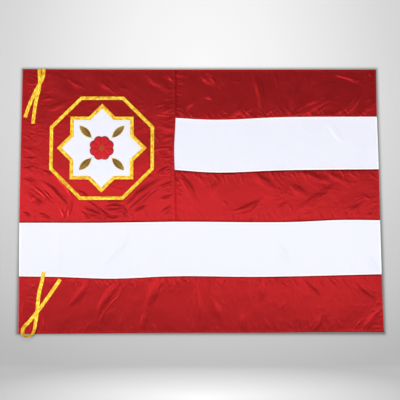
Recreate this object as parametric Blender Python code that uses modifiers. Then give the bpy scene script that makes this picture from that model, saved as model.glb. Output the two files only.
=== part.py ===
"""Church banner of red and white satin, laid face up on a flat surface.

The frame is +X towards the fly, +Y towards the banner's top and +Z up from the surface. Every size
below is in millimetres, and places are measured from the middle of the cloth. One empty moves them
all, so that the origin is under the middle of the finished banner.
"""
import math
from collections import namedtuple

import bmesh
import bpy
import numpy as np
from mathutils import Matrix, Vector

MM = 0.001
CLOTH_THICK = 1.2
RIBBON_WIDE = 12.0
RIBBON_THICK = 1.0
PATCH_THICK = 1.0
GAP = 0.3

# The middle of the whole outline, ties included, measured from the middle of the cloth.
OUTLINE_MIDDLE = (-2.75, -7.3)

# The heights of the middle of a ribbon's thickness: on the cloth, on a strand that is on the cloth,
# and on the surface, under a part of the cloth that the ribbon lifts.
ON_CLOTH = CLOTH_THICK + GAP + RIBBON_THICK / 2
ON_STRAND = ON_CLOTH + RIBBON_THICK + GAP
UNDER_CLOTH = RIBBON_THICK / 2

# Where the upper tie's sewn middle lies under the top edge, it lifts the cloth by its own thickness.
TIE_LIFT = RIBBON_THICK + GAP
LIFT_MIDDLE_X = -542.0
LIFT_HALF_WIDE = 43.0
LIFT_FROM_Y = 405.0
LIFT_RAMP = 45.0

# Edges and seams: each is a smooth line through a few places, upright ones as x at y, others as y at x.
Place = namedtuple("Place", "at value")
LEFT_EDGE = (
    Place(-447, -602.0),
    Place(-260, -604.5),
    Place(-204, -605.6),
    Place(165, -607.0),
    Place(442, -606.0),
)
RIGHT_EDGE = (
    Place(-442, 601.5),
    Place(-336, 598.5),
    Place(-204, 597.3),
    Place(-38, 596.1),
    Place(114, 595.3),
    Place(302, 592.4),
    Place(441, 592.5),
)
TOP_EDGE = (
    Place(-606, 442.4),
    Place(-344, 441.3),
    Place(131, 441.0),
    Place(403, 441.0),
    Place(593, 440.6),
)
BOTTOM_EDGE = (
    Place(-602, -447.0),
    Place(-465, -446.7),
    Place(-202, -444.4),
    Place(259, -443.1),
    Place(489, -441.1),
    Place(601, -441.8),
)
UPRIGHT_SEAM = (
    Place(-78, -86.6),
    Place(90, -89.1),
    Place(165, -91.3),
    Place(274, -86.9),
    Place(440, -88.4),
)
TOP_STRIPE_SEAM = (
    Place(-88, 274.6),
    Place(16, 268.6),
    Place(286, 277.2),
    Place(594, 278.5),
)
SHORT_STRIPE_SEAM = (
    Place(-89, 97.9),
    Place(16, 89.8),
    Place(284, 96.6),
    Place(597, 100.0),
)
LONG_STRIPE_SEAM = (
    Place(-603, -80.5),
    Place(-338, -80.5),
    Place(-88, -77.1),
    Place(329, -77.1),
    Place(466, -71.1),
    Place(596, -71.8),
)
BOTTOM_STRIPE_SEAM = (
    Place(-604, -258.6),
    Place(-468, -260.6),
    Place(-309, -265.9),
    Place(-87, -258.0),
    Place(161, -260.0),
    Place(599, -251.4),
)

Panel = namedtuple("Panel", "name left right bottom top finish")
PANELS = (
    Panel("canton_panel", LEFT_EDGE, UPRIGHT_SEAM, LONG_STRIPE_SEAM, TOP_EDGE, "red_satin"),
    Panel("top_red_stripe", UPRIGHT_SEAM, RIGHT_EDGE, TOP_STRIPE_SEAM, TOP_EDGE, "red_satin"),
    Panel("short_white_stripe", UPRIGHT_SEAM, RIGHT_EDGE, SHORT_STRIPE_SEAM, TOP_STRIPE_SEAM, "white_satin"),
    Panel("middle_red_stripe", UPRIGHT_SEAM, RIGHT_EDGE, LONG_STRIPE_SEAM, SHORT_STRIPE_SEAM, "red_satin"),
    Panel("long_white_stripe", LEFT_EDGE, RIGHT_EDGE, BOTTOM_STRIPE_SEAM, LONG_STRIPE_SEAM, "white_satin"),
    Panel("bottom_red_stripe", LEFT_EDGE, RIGHT_EDGE, BOTTOM_EDGE, BOTTOM_STRIPE_SEAM, "red_satin"),
)
# The cloth is worked out in cells of about this size; the white stripes' folds are fainter and wider.
CELL = {"red_satin": 12.5, "white_satin": 15.0}

# The main folds: a low ridge from one end to the other, bowed sideways, with its half width and height.
Fold = namedtuple("Fold", "x0 y0 x1 y1 bow wide high")
FOLDS = (
    # Square red panel, above the emblem and on both sides of it
    Fold(-212, 438, -96, 350, 6, 30, 2.5),
    Fold(-348, 410, -308, 374, 0, 22, 1.8),
    Fold(-448, 394, -398, 376, 4, 20, 1.5),
    Fold(-524, 310, -458, 334, -5, 22, 2.0),
    Fold(-153, 282, -92, 330, -4, 26, 2.5),
    Fold(-140, 244, -92, 236, 0, 18, 1.3),
    # Square red panel, below the emblem
    Fold(-262, -52, -128, 66, 8, 28, 2.8),
    Fold(-534, 60, -436, -52, 9, 28, 3.0),
    Fold(-592, 18, -518, -26, -4, 20, 2.0),
    Fold(-594, 70, -546, 46, 0, 20, 1.5),
    Fold(-330, -30, -256, -38, 6, 20, 2.0),
    Fold(-396, -28, -322, -60, -4, 20, 2.0),
    Fold(-130, -62, -100, -12, 0, 17, 1.5),
    # Top red stripe
    Fold(0, 436, 48, 388, 0, 24, 2.0),
    Fold(172, 438, 201, 284, 10, 25, 2.0),
    Fold(330, 410, 292, 284, 6, 26, 2.3),
    Fold(434, 346, 306, 283, 6, 23, 2.5),
    Fold(540, 354, 484, 286, 4, 20, 2.0),
    Fold(590, 338, 536, 284, 0, 19, 2.0),
    Fold(446, 432, 552, 396, 4, 22, 2.0),
    Fold(96, 276, 152, 330, -4, 19, 1.8),
    Fold(-60, 300, -20, 344, 0, 18, 1.5),
    # Middle red stripe
    Fold(-80, 86, -26, -22, 6, 25, 2.5),
    Fold(66, 72, 38, -4, -4, 21, 2.0),
    Fold(94, -44, 208, 4, -16, 22, 2.5),
    Fold(166, 88, 252, 22, 4, 24, 2.3),
    Fold(294, 48, 352, 6, 0, 21, 2.0),
    Fold(332, 90, 434, 54, 3, 20, 2.0),
    Fold(318, -40, 450, 50, -7, 24, 2.5),
    Fold(424, 88, 496, 48, 3, 18, 1.8),
    Fold(250, -58, 296, -12, 4, 18, 2.0),
    Fold(484, -54, 542, -14, 5, 18, 1.8),
    # Bottom red stripe
    Fold(-374, -268, -440, -356, 5, 23, 2.3),
    Fold(-268, -272, -346, -396, -6, 25, 2.5),
    Fold(-118, -266, -194, -378, -6, 23, 2.3),
    Fold(-182, -356, -197, -438, 4, 20, 2.0),
    Fold(-146, -270, -182, -332, 0, 16, 1.5),
    Fold(-22, -266, -8, -440, 7, 21, 2.5),
    Fold(28, -326, 66, -441, 6, 22, 2.3),
    Fold(136, -368, 137, -441, 0, 19, 1.8),
    Fold(208, -268, 191, -340, 0, 19, 1.8),
    Fold(346, -264, 400, -322, 4, 19, 2.0),
    Fold(508, -260, 580, -334, -6, 21, 2.5),
    Fold(530, -438, 592, -366, 4, 21, 2.3),
    Fold(398, -382, 368, -438, 0, 19, 2.0),
    # White stripes, whose folds are faint
    Fold(-476, -100, -474, -252, 4, 20, 1.3),
    Fold(-224, -92, -342, -232, 6, 24, 1.5),
    Fold(250, -140, 292, -216, 0, 19, 1.3),
    Fold(536, -180, 594, -244, 0, 18, 1.3),
    Fold(420, 262, 480, 192, 0, 18, 1.3),
)
# The share of a fold's length over which each end fades, and how wide the fold still is at its tips.
FOLD_END = 0.35
FOLD_TIP = 0.55

# The emblem lies inside an eight-sided ribbon frame: a white star of two crossed squares with a
# ribbon along its edge, a red rosette at its middle and four leaves between rosette and star.
EMBLEM = Vector((-335.0, 172.0))
EMBLEM_HEIGHT = CLOTH_THICK + GAP
FRAME_ACROSS = 352.0
FRAME_SIDES = 8
STAR_RADIUS = 134.0
STAR_TIPS = 8
ROSETTE_RADIUS = 42.0
ROSETTE_PETALS = 8
ROSETTE_NOTCH = 5.0
STEPS_PER_PETAL = 6
LEAVES = 4
FIRST_LEAF = 45
LEAF_ROUNDNESS = 0.8
LEAF_LONG = 56.0
LEAF_WIDE = 22.0
LEAF_FROM = 50.0
LEAF_STEPS = 7
ON_PATCH = EMBLEM_HEIGHT + PATCH_THICK + GAP

# A ribbon's route, by the middle of its width and of its thickness. The lean turns it about its own
# length, with its right-hand edge down. A run whose level share is over LEVEL_RUN is level across.
Stop = namedtuple("Stop", "x y z lean")
EDGE_BEND = (CLOTH_THICK + 2 * GAP + RIBBON_THICK) / 2
EDGE_MIDDLE_Z = TIE_LIFT + CLOTH_THICK / 2
EDGE_Y = 442.3


def over_edge(x, down=True):
    """The stops of a ribbon that turns round the lifted top edge of the cloth."""
    stops = []
    for angle in range(90, -91, -30):
        turn = math.radians(angle)
        y = EDGE_Y + EDGE_BEND * math.cos(turn)
        z = EDGE_MIDDLE_Z + EDGE_BEND * math.sin(turn)
        stops.append(Stop(x, y, z, 0))
    return stops if down else stops[::-1]


UPPER_TIE = (
    Stop(-568, 255, ON_CLOTH, 0),
    Stop(-564, 295, ON_CLOTH, 0),
    Stop(-560, 326, ON_CLOTH, 0),
    Stop(-555, 350, ON_STRAND, 0),
    Stop(-550, 370, ON_STRAND + 0.3 * TIE_LIFT, 0),
    Stop(-547, 391, ON_STRAND + 0.75 * TIE_LIFT, 0),
    Stop(-548, 412, ON_STRAND + TIE_LIFT, 0),
    Stop(-549, 424, ON_STRAND + TIE_LIFT, 0),
    Stop(-549, 438, ON_CLOTH + TIE_LIFT, 0),
    *over_edge(-549),
    Stop(-550, 436, UNDER_CLOTH, 0),
    Stop(-551, 428, UNDER_CLOTH, 0),
    Stop(-548.4, 421.6, UNDER_CLOTH, 0),
    Stop(-542, 419, UNDER_CLOTH, 0),
    Stop(-535.6, 421.6, UNDER_CLOTH, 0),
    Stop(-533, 428, UNDER_CLOTH, 0),
    Stop(-534, 436, UNDER_CLOTH, 0),
    *over_edge(-535, down=False),
    Stop(-535, 430, ON_CLOTH + TIE_LIFT, 0),
    Stop(-536, 419, ON_CLOTH + TIE_LIFT, 0),
    Stop(-543, 400, ON_CLOTH + 0.9 * TIE_LIFT, 0),
    Stop(-557, 374, ON_CLOTH + 0.35 * TIE_LIFT, 0),
    Stop(-566, 354, ON_CLOTH, 0),
    Stop(-574, 336, ON_CLOTH, 0),
    Stop(-583, 313, ON_CLOTH, 0),
    Stop(-595, 276, ON_CLOTH, 0),
)
LOWER_TIE = (
    Stop(-522, -244, ON_CLOTH, 0),
    Stop(-529, -281, ON_CLOTH, 0),
    Stop(-537, -316, ON_CLOTH, 0),
    Stop(-540, -351, ON_CLOTH, 0),
    Stop(-541, -368, ON_CLOTH, 0),
    Stop(-544, -394, ON_CLOTH, 0),
    Stop(-547, -416, 2.9, 8),
    Stop(-549, -430, 4.0, 18),
    Stop(-552.5, -442, 5.5, 34),
    Stop(-560, -451, 6.4, 50),
    Stop(-571, -455, 5.6, 55),
    Stop(-582, -452.5, 6.4, 50),
    Stop(-588, -444, 5.5, 34),
    Stop(-588, -434, 4.0, 18),
    Stop(-581, -422, 2.9, 8),
    Stop(-568, -408, ON_CLOTH, 0),
    Stop(-557, -395, ON_STRAND, 0),
    Stop(-542, -376, ON_STRAND, 0),
    Stop(-528, -358, ON_STRAND, 0),
    Stop(-515, -339, ON_CLOTH, 0),
    Stop(-494, -309, ON_CLOTH, 0),
    Stop(-468, -269, ON_CLOTH, 0),
)
STEPS_PER_STOP = 2
LEVEL_RUN = 0.7

FINISHES = {
    # name: linear red, green and blue, then roughness
    "red_satin": (0.42, 0.013, 0.020, 0.42),
    "white_satin": (0.86, 0.87, 0.95, 0.45),
    "gold_ribbon": (0.90, 0.50, 0.035, 0.40),
    "embroidery": (0.22, 0.12, 0.022, 0.55),
}


def clear_scene():
    for thing in list(bpy.data.objects):
        bpy.data.objects.remove(thing, do_unlink=True)


def make_materials():
    materials = {}
    for name, (red, green, blue, roughness) in FINISHES.items():
        material = bpy.data.materials.new(name)
        material.use_nodes = True
        shader = material.node_tree.nodes["Principled BSDF"]
        shader.inputs["Base Color"].default_value = (red, green, blue, 1)
        shader.inputs["Roughness"].default_value = roughness
        shader.inputs["Metallic"].default_value = 0
        material.diffuse_color = (red, green, blue, 1)
        materials[name] = material
    return materials


def smooth(share):
    """An even rise from 0 to 1 that starts and ends level."""
    share = min(max(share, 0.0), 1.0)
    return share * share * (3 - 2 * share)


def through(places, at):
    """The value at one spot of the smooth line through a few places."""
    spots = [place.at for place in places]
    values = [place.value for place in places]
    slopes = np.gradient(values, spots)
    i = int(np.clip(np.searchsorted(spots, at) - 1, 0, len(spots) - 2))
    step = spots[i + 1] - spots[i]
    share = (at - spots[i]) / step
    rise = share * share * (3 - 2 * share)
    start = slopes[i] * step * share * (1 - share) ** 2
    end = slopes[i + 1] * step * share ** 2 * (1 - share)
    return values[i] + (values[i + 1] - values[i]) * rise + start - end


def fold_height(fold, x, y):
    """How high one fold lifts the cloth at a place: a rounded ridge that fades at both ends."""
    run = Vector((fold.x1 - fold.x0, fold.y1 - fold.y0))
    away = Vector((x - fold.x0, y - fold.y0))
    along = away.dot(run) / run.length_squared
    if not 0 < along < 1:
        return 0.0
    ends = smooth(min(along, 1 - along) / FOLD_END)
    wide = fold.wide * (FOLD_TIP + (1 - FOLD_TIP) * ends)
    across = run.cross(away) / run.length - 4 * fold.bow * along * (1 - along)
    if abs(across) >= wide:
        return 0.0
    return fold.high * ends * (0.5 + 0.5 * math.cos(math.pi * across / wide))


def tie_lift(x, y):
    """How high the sewn middle of the upper tie lifts the cloth over it."""
    sideways = 1 - (abs(x - LIFT_MIDDLE_X) - LIFT_HALF_WIDE) / LIFT_RAMP
    upwards = 1 + (y - LIFT_FROM_Y) / LIFT_RAMP
    return TIE_LIFT * min(max(sideways, 0.0), 1.0) * min(max(upwards, 0.0), 1.0)


def cloth_height(x, y):
    """The height of the underside of the cloth above the surface."""
    return sum(fold_height(fold, x, y) for fold in FOLDS) + tie_lift(x, y)


def add_object(name, data, finish, kit):
    piece = bpy.data.objects.new(name, data)
    data.materials.append(kit.materials[finish])
    piece.parent = kit.anchor
    kit.collection.objects.link(piece)
    return piece


def sheet(name, columns, rows, spot, thick, offset, finish, kit):
    """A sheet whose every point comes from its shares across and up; the sheet is thickened after."""
    shape = bmesh.new()
    bmesh.ops.create_grid(shape, x_segments=columns, y_segments=rows, size=0.5)
    for vert in shape.verts:
        vert.co = Vector(spot(vert.co.x + 0.5, vert.co.y + 0.5)) * MM
    mesh = bpy.data.meshes.new(name)
    shape.to_mesh(mesh)
    shape.free()
    piece = add_object(name, mesh, finish, kit)
    flats = piece.modifiers.new("merge level cells", "DECIMATE")
    flats.decimate_type = "DISSOLVE"
    flats.angle_limit = math.radians(0.3)
    body = piece.modifiers.new("thickness", "SOLIDIFY")
    body.thickness = thick * MM
    body.offset = offset
    return piece


def panel(plan, kit):
    """One sewn panel of cloth between its four edges or seams, half a gap inside each."""
    inset = GAP / 2
    middle_x = (through(plan.left, 0) + through(plan.right, 0)) / 2
    low = through(plan.bottom, middle_x)
    high = through(plan.top, middle_x)

    def spot(share_x, share_y):
        y = low + (high - low) * share_y
        for _ in range(2):
            left = through(plan.left, y) + inset
            right = through(plan.right, y) - inset
            x = left + (right - left) * share_x
            bottom = through(plan.bottom, x) + inset
            top = through(plan.top, x) - inset
            y = bottom + (top - bottom) * share_y
        return x, y, cloth_height(x, y)

    width = through(plan.right, low) - through(plan.left, low)
    columns = round(width / CELL[plan.finish])
    rows = round((high - low) / CELL[plan.finish])
    return sheet(plan.name, columns, rows, spot, CLOTH_THICK, 1, plan.finish, kit)


def ribbon_stations(stops):
    """Points and leans along a ribbon's route: smooth as seen from above, with even rises."""
    places = [Vector((stop.x, stop.y, stop.z)) for stop in stops]
    lengths = [0.0]
    for before, after in zip(places, places[1:]):
        lengths.append(lengths[-1] + (after - before).length)
    spots = []
    for before, after in zip(lengths, lengths[1:]):
        spots += [before + (after - before) * step / STEPS_PER_STOP for step in range(STEPS_PER_STOP)]
    spots.append(lengths[-1])
    line_x = [Place(at, stop.x) for at, stop in zip(lengths, stops)]
    line_y = [Place(at, stop.y) for at, stop in zip(lengths, stops)]
    heights = np.interp(spots, lengths, [stop.z for stop in stops])
    points = [Vector((through(line_x, at), through(line_y, at), z)) for at, z in zip(spots, heights)]
    leans = np.interp(spots, lengths, [stop.lean for stop in stops])
    return points, leans


def ribbon(name, stops, kit):
    """A flat ribbon along its route: level across wherever the route isn't steep, but for its lean."""
    points, leans = ribbon_stations(stops)
    runs = [(after - before).normalized() for before, after in zip(points, points[1:])]
    directions = [runs[0]] + [(a + b).normalized() for a, b in zip(runs, runs[1:])] + [runs[-1]]
    up = Vector((0, 0, 1))
    left = up.cross(directions[0]).normalized()
    sides = []
    for before, now, lean in zip([directions[0]] + directions, directions, leans):
        left = before.rotation_difference(now) @ left
        level = up.cross(now)
        if level.length > LEVEL_RUN:
            left = level.normalized() * math.copysign(1, level.dot(left))
        sides.append(Matrix.Rotation(math.radians(lean), 3, now) @ left)
    last = len(points) - 1

    def spot(share_along, share_across):
        i = round(share_along * last)
        return points[i] + sides[i] * RIBBON_WIDE * (share_across - 0.5)

    return sheet(name, last, 1, spot, RIBBON_THICK, 0, "gold_ribbon", kit)


def cut_out(name, outlines, height, thick, finish, kit):
    """A flat piece cut to its outline; a second outline inside the first one is a hole."""
    outline_curve = bpy.data.curves.new(name, "CURVE")
    outline_curve.dimensions = "2D"
    outline_curve.fill_mode = "BOTH"
    outline_curve.extrude = thick / 2 * MM
    for outline in outlines:
        spline = outline_curve.splines.new("POLY")
        spline.points.add(len(outline) - 1)
        spline.use_cyclic_u = True
        for point, (x, y) in zip(spline.points, outline):
            point.co = (x * MM, y * MM, 0, 1)
    piece = add_object(name, outline_curve, finish, kit)
    piece.location.z = (height + thick / 2) * MM
    return piece


def around_emblem(radius, degrees):
    turn = math.radians(degrees)
    return EMBLEM + Vector((math.cos(turn), math.sin(turn))) * radius


def frame_outline(across):
    """Corners of the eight-sided frame, measured across its flat sides."""
    half_side = 180 / FRAME_SIDES
    corner = across / 2 / math.cos(math.radians(half_side))
    return [around_emblem(corner, half_side * (2 * side + 1)) for side in range(FRAME_SIDES)]


def star_outline(radius):
    """The outline of two crossed squares, tip by tip."""
    half_tip = 180 / STAR_TIPS
    inner = radius * math.cos(math.radians(2 * half_tip)) / math.cos(math.radians(half_tip))
    outline = []
    for tip in range(STAR_TIPS):
        outline.append(around_emblem(radius, 2 * half_tip * tip))
        outline.append(around_emblem(inner, 2 * half_tip * tip + half_tip))
    return outline


def rosette_outline():
    """Round petals side by side, with a notch between each two."""
    steps = ROSETTE_PETALS * STEPS_PER_PETAL
    outline = []
    for step in range(steps):
        petal = step % STEPS_PER_PETAL / STEPS_PER_PETAL
        radius = ROSETTE_RADIUS - ROSETTE_NOTCH * (1 - math.sin(math.pi * petal))
        outline.append(around_emblem(radius, 360 * step / steps))
    return outline


def leaf_outline(degrees):
    """A pointed leaf that grows outwards from the rosette."""
    turn = Matrix.Rotation(math.radians(degrees), 2)
    along = [LEAF_FROM + LEAF_LONG * step / LEAF_STEPS for step in range(LEAF_STEPS + 1)]
    swell = [math.sin(math.pi * step / LEAF_STEPS) ** LEAF_ROUNDNESS for step in range(LEAF_STEPS)] + [0]
    one_side = [(x, LEAF_WIDE / 2 * share) for x, share in zip(along, swell)]
    other_side = [(x, -y) for x, y in one_side[-2:0:-1]]
    return [EMBLEM + turn @ Vector(place) for place in one_side + other_side]


def emblem(kit):
    ribbon_corner = RIBBON_WIDE * math.sqrt(2)
    gap_corner = GAP * math.sqrt(2)
    frame = [frame_outline(FRAME_ACROSS), frame_outline(FRAME_ACROSS - 2 * RIBBON_WIDE)]
    inner_tip = STAR_RADIUS + gap_corner
    edging = [star_outline(inner_tip + ribbon_corner), star_outline(inner_tip)]
    cut_out("emblem_frame_ribbon", frame, EMBLEM_HEIGHT, RIBBON_THICK, "gold_ribbon", kit)
    cut_out("star_patch", [star_outline(STAR_RADIUS)], EMBLEM_HEIGHT, PATCH_THICK, "white_satin", kit)
    cut_out("star_edging_ribbon", edging, EMBLEM_HEIGHT, RIBBON_THICK, "gold_ribbon", kit)
    cut_out("rosette", [rosette_outline()], ON_PATCH, PATCH_THICK, "red_satin", kit)
    for leaf in range(LEAVES):
        outline = leaf_outline(FIRST_LEAF + 360 * leaf / LEAVES)
        cut_out(f"leaf_{leaf + 1}", [outline], ON_PATCH, PATCH_THICK, "embroidery", kit)


def main():
    clear_scene()
    Kit = namedtuple("Kit", "collection anchor materials")
    collection = bpy.data.collections.new("church_banner")
    bpy.context.scene.collection.children.link(collection)
    anchor = bpy.data.objects.new("banner_middle", None)
    anchor.location = Vector((-OUTLINE_MIDDLE[0], -OUTLINE_MIDDLE[1], 0)) * MM
    collection.objects.link(anchor)
    kit = Kit(collection, anchor, make_materials())
    for plan in PANELS:
        panel(plan, kit)
    emblem(kit)
    ribbon("upper_tie", UPPER_TIE, kit)
    ribbon("lower_tie", LOWER_TIE, kit)


main()
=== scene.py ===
"""The looks of a church banner of red and white satin that lies face up on a flat surface.

Sizes are in millimetres and places are measured from the middle of the cloth: +X towards the fly, +Y
towards the banner's top, and Z up from the surface. `world` turns them into metres in the frame.
"""
import math
from collections import namedtuple

import bmesh
import bpy
import numpy as np
from mathutils import Matrix, Vector

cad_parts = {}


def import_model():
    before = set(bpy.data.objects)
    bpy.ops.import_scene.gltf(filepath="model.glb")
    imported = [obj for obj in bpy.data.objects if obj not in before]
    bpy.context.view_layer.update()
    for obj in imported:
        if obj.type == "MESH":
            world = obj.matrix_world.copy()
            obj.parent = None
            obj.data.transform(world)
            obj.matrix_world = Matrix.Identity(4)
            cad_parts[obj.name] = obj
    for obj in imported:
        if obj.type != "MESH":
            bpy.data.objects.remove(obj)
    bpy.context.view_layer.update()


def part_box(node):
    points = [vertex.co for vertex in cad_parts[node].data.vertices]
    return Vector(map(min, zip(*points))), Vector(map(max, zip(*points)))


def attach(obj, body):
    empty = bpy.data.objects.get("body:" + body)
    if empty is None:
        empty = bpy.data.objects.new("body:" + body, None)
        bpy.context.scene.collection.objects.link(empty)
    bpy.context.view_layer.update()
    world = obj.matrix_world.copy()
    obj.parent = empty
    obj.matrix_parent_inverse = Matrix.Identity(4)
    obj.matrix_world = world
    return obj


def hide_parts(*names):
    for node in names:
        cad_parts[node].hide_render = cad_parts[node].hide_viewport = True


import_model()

MM = 0.001
UP = np.array([0.0, 0.0, 1.0])

# The emblem's middle, which also tells where the middle of the cloth lies in the frame.
EMBLEM = np.array([-335.0, 172.0])
frame_low, frame_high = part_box("emblem_frame_ribbon")
SHIFT = np.append(np.array(((frame_low + frame_high) / 2 / MM)[:2]) - EMBLEM, 0.0)

# The cloth's upper side where it lies flat, how thick it is there, and where it is sewn double.
CLOTH_TOP = 1.15
SINGLE = 0.45
DOUBLED = 1.05
LEAST_HEIGHT = 0.02
SEAM_INSET = 0.03
CELL = {"red_satin": 2.15, "white_satin": 3.2}
UNDER_STEP = 3

# Edges and seams: each is a smooth line through a few places, upright ones as x at y, others as y at x.
Place = namedtuple("Place", "at value")


def course(*pairs):
    return [Place(*pair) for pair in pairs]


LEFT_EDGE = course((-447, -602.0), (-260, -604.5), (-204, -605.6), (165, -607.0), (442, -606.0))
RIGHT_EDGE = course(
    (-442, 601.5), (-336, 598.5), (-204, 597.3), (-38, 596.1), (114, 595.3), (302, 592.4), (441, 592.5)
)
TOP_EDGE = course((-606, 442.4), (-344, 441.3), (131, 441.0), (403, 441.0), (593, 440.6))
BOTTOM_EDGE = course(
    (-602, -447.0), (-465, -446.7), (-202, -444.4), (259, -443.1), (489, -441.1), (601, -441.8)
)
UPRIGHT_SEAM = course((-78, -86.6), (90, -89.1), (165, -91.3), (274, -86.9), (440, -88.4))
TOP_STRIPE_SEAM = course((-88, 274.6), (16, 268.6), (286, 277.2), (594, 278.5))
SHORT_STRIPE_SEAM = course((-89, 97.9), (16, 89.8), (284, 96.6), (597, 100.0))
LONG_STRIPE_SEAM = course(
    (-603, -80.5), (-338, -80.5), (-88, -77.1), (329, -77.1), (466, -71.1), (596, -71.8)
)
BOTTOM_STRIPE_SEAM = course(
    (-604, -258.6), (-468, -260.6), (-309, -265.9), (-87, -258.0), (161, -260.0), (599, -251.4)
)

# How a side is sewn. The band is the double cloth along it, which stands proud by the rise; rows are
# its stitch rows; the glow is how wide its edge is painted lighter, partly as the doubled cloth's own tone
# and partly as a painted highlight; the drop is how far the very edge turns down, within its reach; the
# pull is where the stitches gather the cloth; the marks are where the mesh has a line. All from the edge
# inwards. A lapped side is a felled one without that lighter painted edge. A side with neither band nor
# glow gets painted shade along it instead.
Side = namedtuple("Side", "band rise rows glow drop reach pull marks")
SEAM_MARKS = (0, 0.5, 1.2, 2.2, 3.4, 4.4, 5.6, 6.5, 7.4, 8.6, 11)
SIDES = {
    "hem": Side(7.0, 0.15, (6.0,), 3.4, 0.35, 0.7, 6.0, (0, 0.8, 2.6, 3.8, 5.1, 6.0, 6.9, 8.2, 11)),
    "hoist": Side(
        35.0, 0.15, (2.0, 33.5), 3.0, 0.35, 0.7, 33.5, (0, 0.8, 2.0, 3.2, 6, 32.4, 33.5, 34.6, 36.2, 39)
    ),
    "felled": Side(7.5, 0.3, (1.2, 6.5), 3.8, 0.3, 0.5, 7.0, SEAM_MARKS),
    "lapped": Side(7.5, 0.3, (1.2, 6.5), 0.0, 0.3, 0.5, 7.0, SEAM_MARKS),
    "tucked": Side(0.0, 0.0, (), 0.0, 0.5, 2.6, 0.0, (0, 0.8, 1.8, 3.2, 5.5)),
    "plain": Side(0.0, 0.0, (), 0.0, 0.3, 1.2, 0.0, (0, 0.8, 1.8, 3.2)),
}
BAND_FADE = 1.3
ROW_DIP = 0.16
ROW_REACH = 0.8
GLOW_FADE = 1.2
# How wide and how dark the painted shade along tucked and plain seams is.
PAINTED_SHADE_REACH = 4.4
PAINTED_SHADE_SHARE = 0.9
STILL = 0.85
STILL_REACH = 7.0

# A panel's side: its line, how it is sewn, and how high and how slanting its puckers are.
Edge = namedtuple("Edge", "line kind pucker lean")
Panel = namedtuple("Panel", "name finish left right bottom top flat")
PANELS = (
    Panel(
        "canton_panel", "red_satin",
        Edge(LEFT_EDGE, "hoist", 0.3, 0.3), Edge(UPRIGHT_SEAM, "lapped", 0.35, 0.2),
        Edge(LONG_STRIPE_SEAM, "tucked", 0.45, 0.3), Edge(TOP_EDGE, "hem", 0.3, 0.2),
        (0.577, 0.548),
    ),
    Panel(
        "top_red_stripe", "red_satin",
        Edge(UPRIGHT_SEAM, "tucked", 0.4, 0.3), Edge(RIGHT_EDGE, "hem", 0.25, 0.2),
        Edge(TOP_STRIPE_SEAM, "tucked", 0.5, 0.8), Edge(TOP_EDGE, "hem", 0.3, 0.2),
        (0.704, 0.190),
    ),
    Panel(
        "short_white_stripe", "white_satin",
        Edge(UPRIGHT_SEAM, "plain", 0.15, 0.3), Edge(RIGHT_EDGE, "hem", 0.1, 0.2),
        Edge(SHORT_STRIPE_SEAM, "felled", 0.15, 0.4), Edge(TOP_STRIPE_SEAM, "felled", 0.15, 0.4),
        (0.704, 0.202),
    ),
    Panel(
        "middle_red_stripe", "red_satin",
        Edge(UPRIGHT_SEAM, "tucked", 0.4, 0.3), Edge(RIGHT_EDGE, "hem", 0.25, 0.2),
        Edge(LONG_STRIPE_SEAM, "tucked", 0.45, 0.4), Edge(SHORT_STRIPE_SEAM, "tucked", 0.5, -0.5),
        (0.704, 0.194),
    ),
    Panel(
        "long_white_stripe", "white_satin",
        Edge(LEFT_EDGE, "hoist", 0.15, 0.3), Edge(RIGHT_EDGE, "hem", 0.1, 0.2),
        Edge(BOTTOM_STRIPE_SEAM, "felled", 0.15, 0.4), Edge(LONG_STRIPE_SEAM, "felled", 0.15, 0.4),
        (1.262, 0.208),
    ),
    Panel(
        "bottom_red_stripe", "red_satin",
        Edge(LEFT_EDGE, "hoist", 0.3, 0.3), Edge(RIGHT_EDGE, "hem", 0.25, 0.2),
        Edge(BOTTOM_EDGE, "hem", 0.3, 0.3), Edge(BOTTOM_STRIPE_SEAM, "tucked", 0.55, -0.6),
        (1.262, 0.204),
    ),
)
SIDE_NAMES = ("left", "right", "bottom", "top")
PUCKER_SPACING = 10.0
PUCKER_REACH = 11.0
WIDER_PUCKERS = 2.3
WIDER_SHARE = 0.6
FRAME_PUCKER = 0.3
FRAME_PUCKER_SIZE = 13.0
# How dark and how wide the painted shade beside the emblem's ribbons is.
RIBBON_PAINTED_SHADE = 0.8
RIBBON_PAINTED_SHADE_REACH = 2.6

# The crisp gathers that the stitches pull into the cloth: how far apart, how long and how wide.
GATHER_GAPS = (9.0, 27.0)
GATHER_LONG = (13.0, 42.0)
GATHER_WIDE = (3.8, 6.5)

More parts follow.
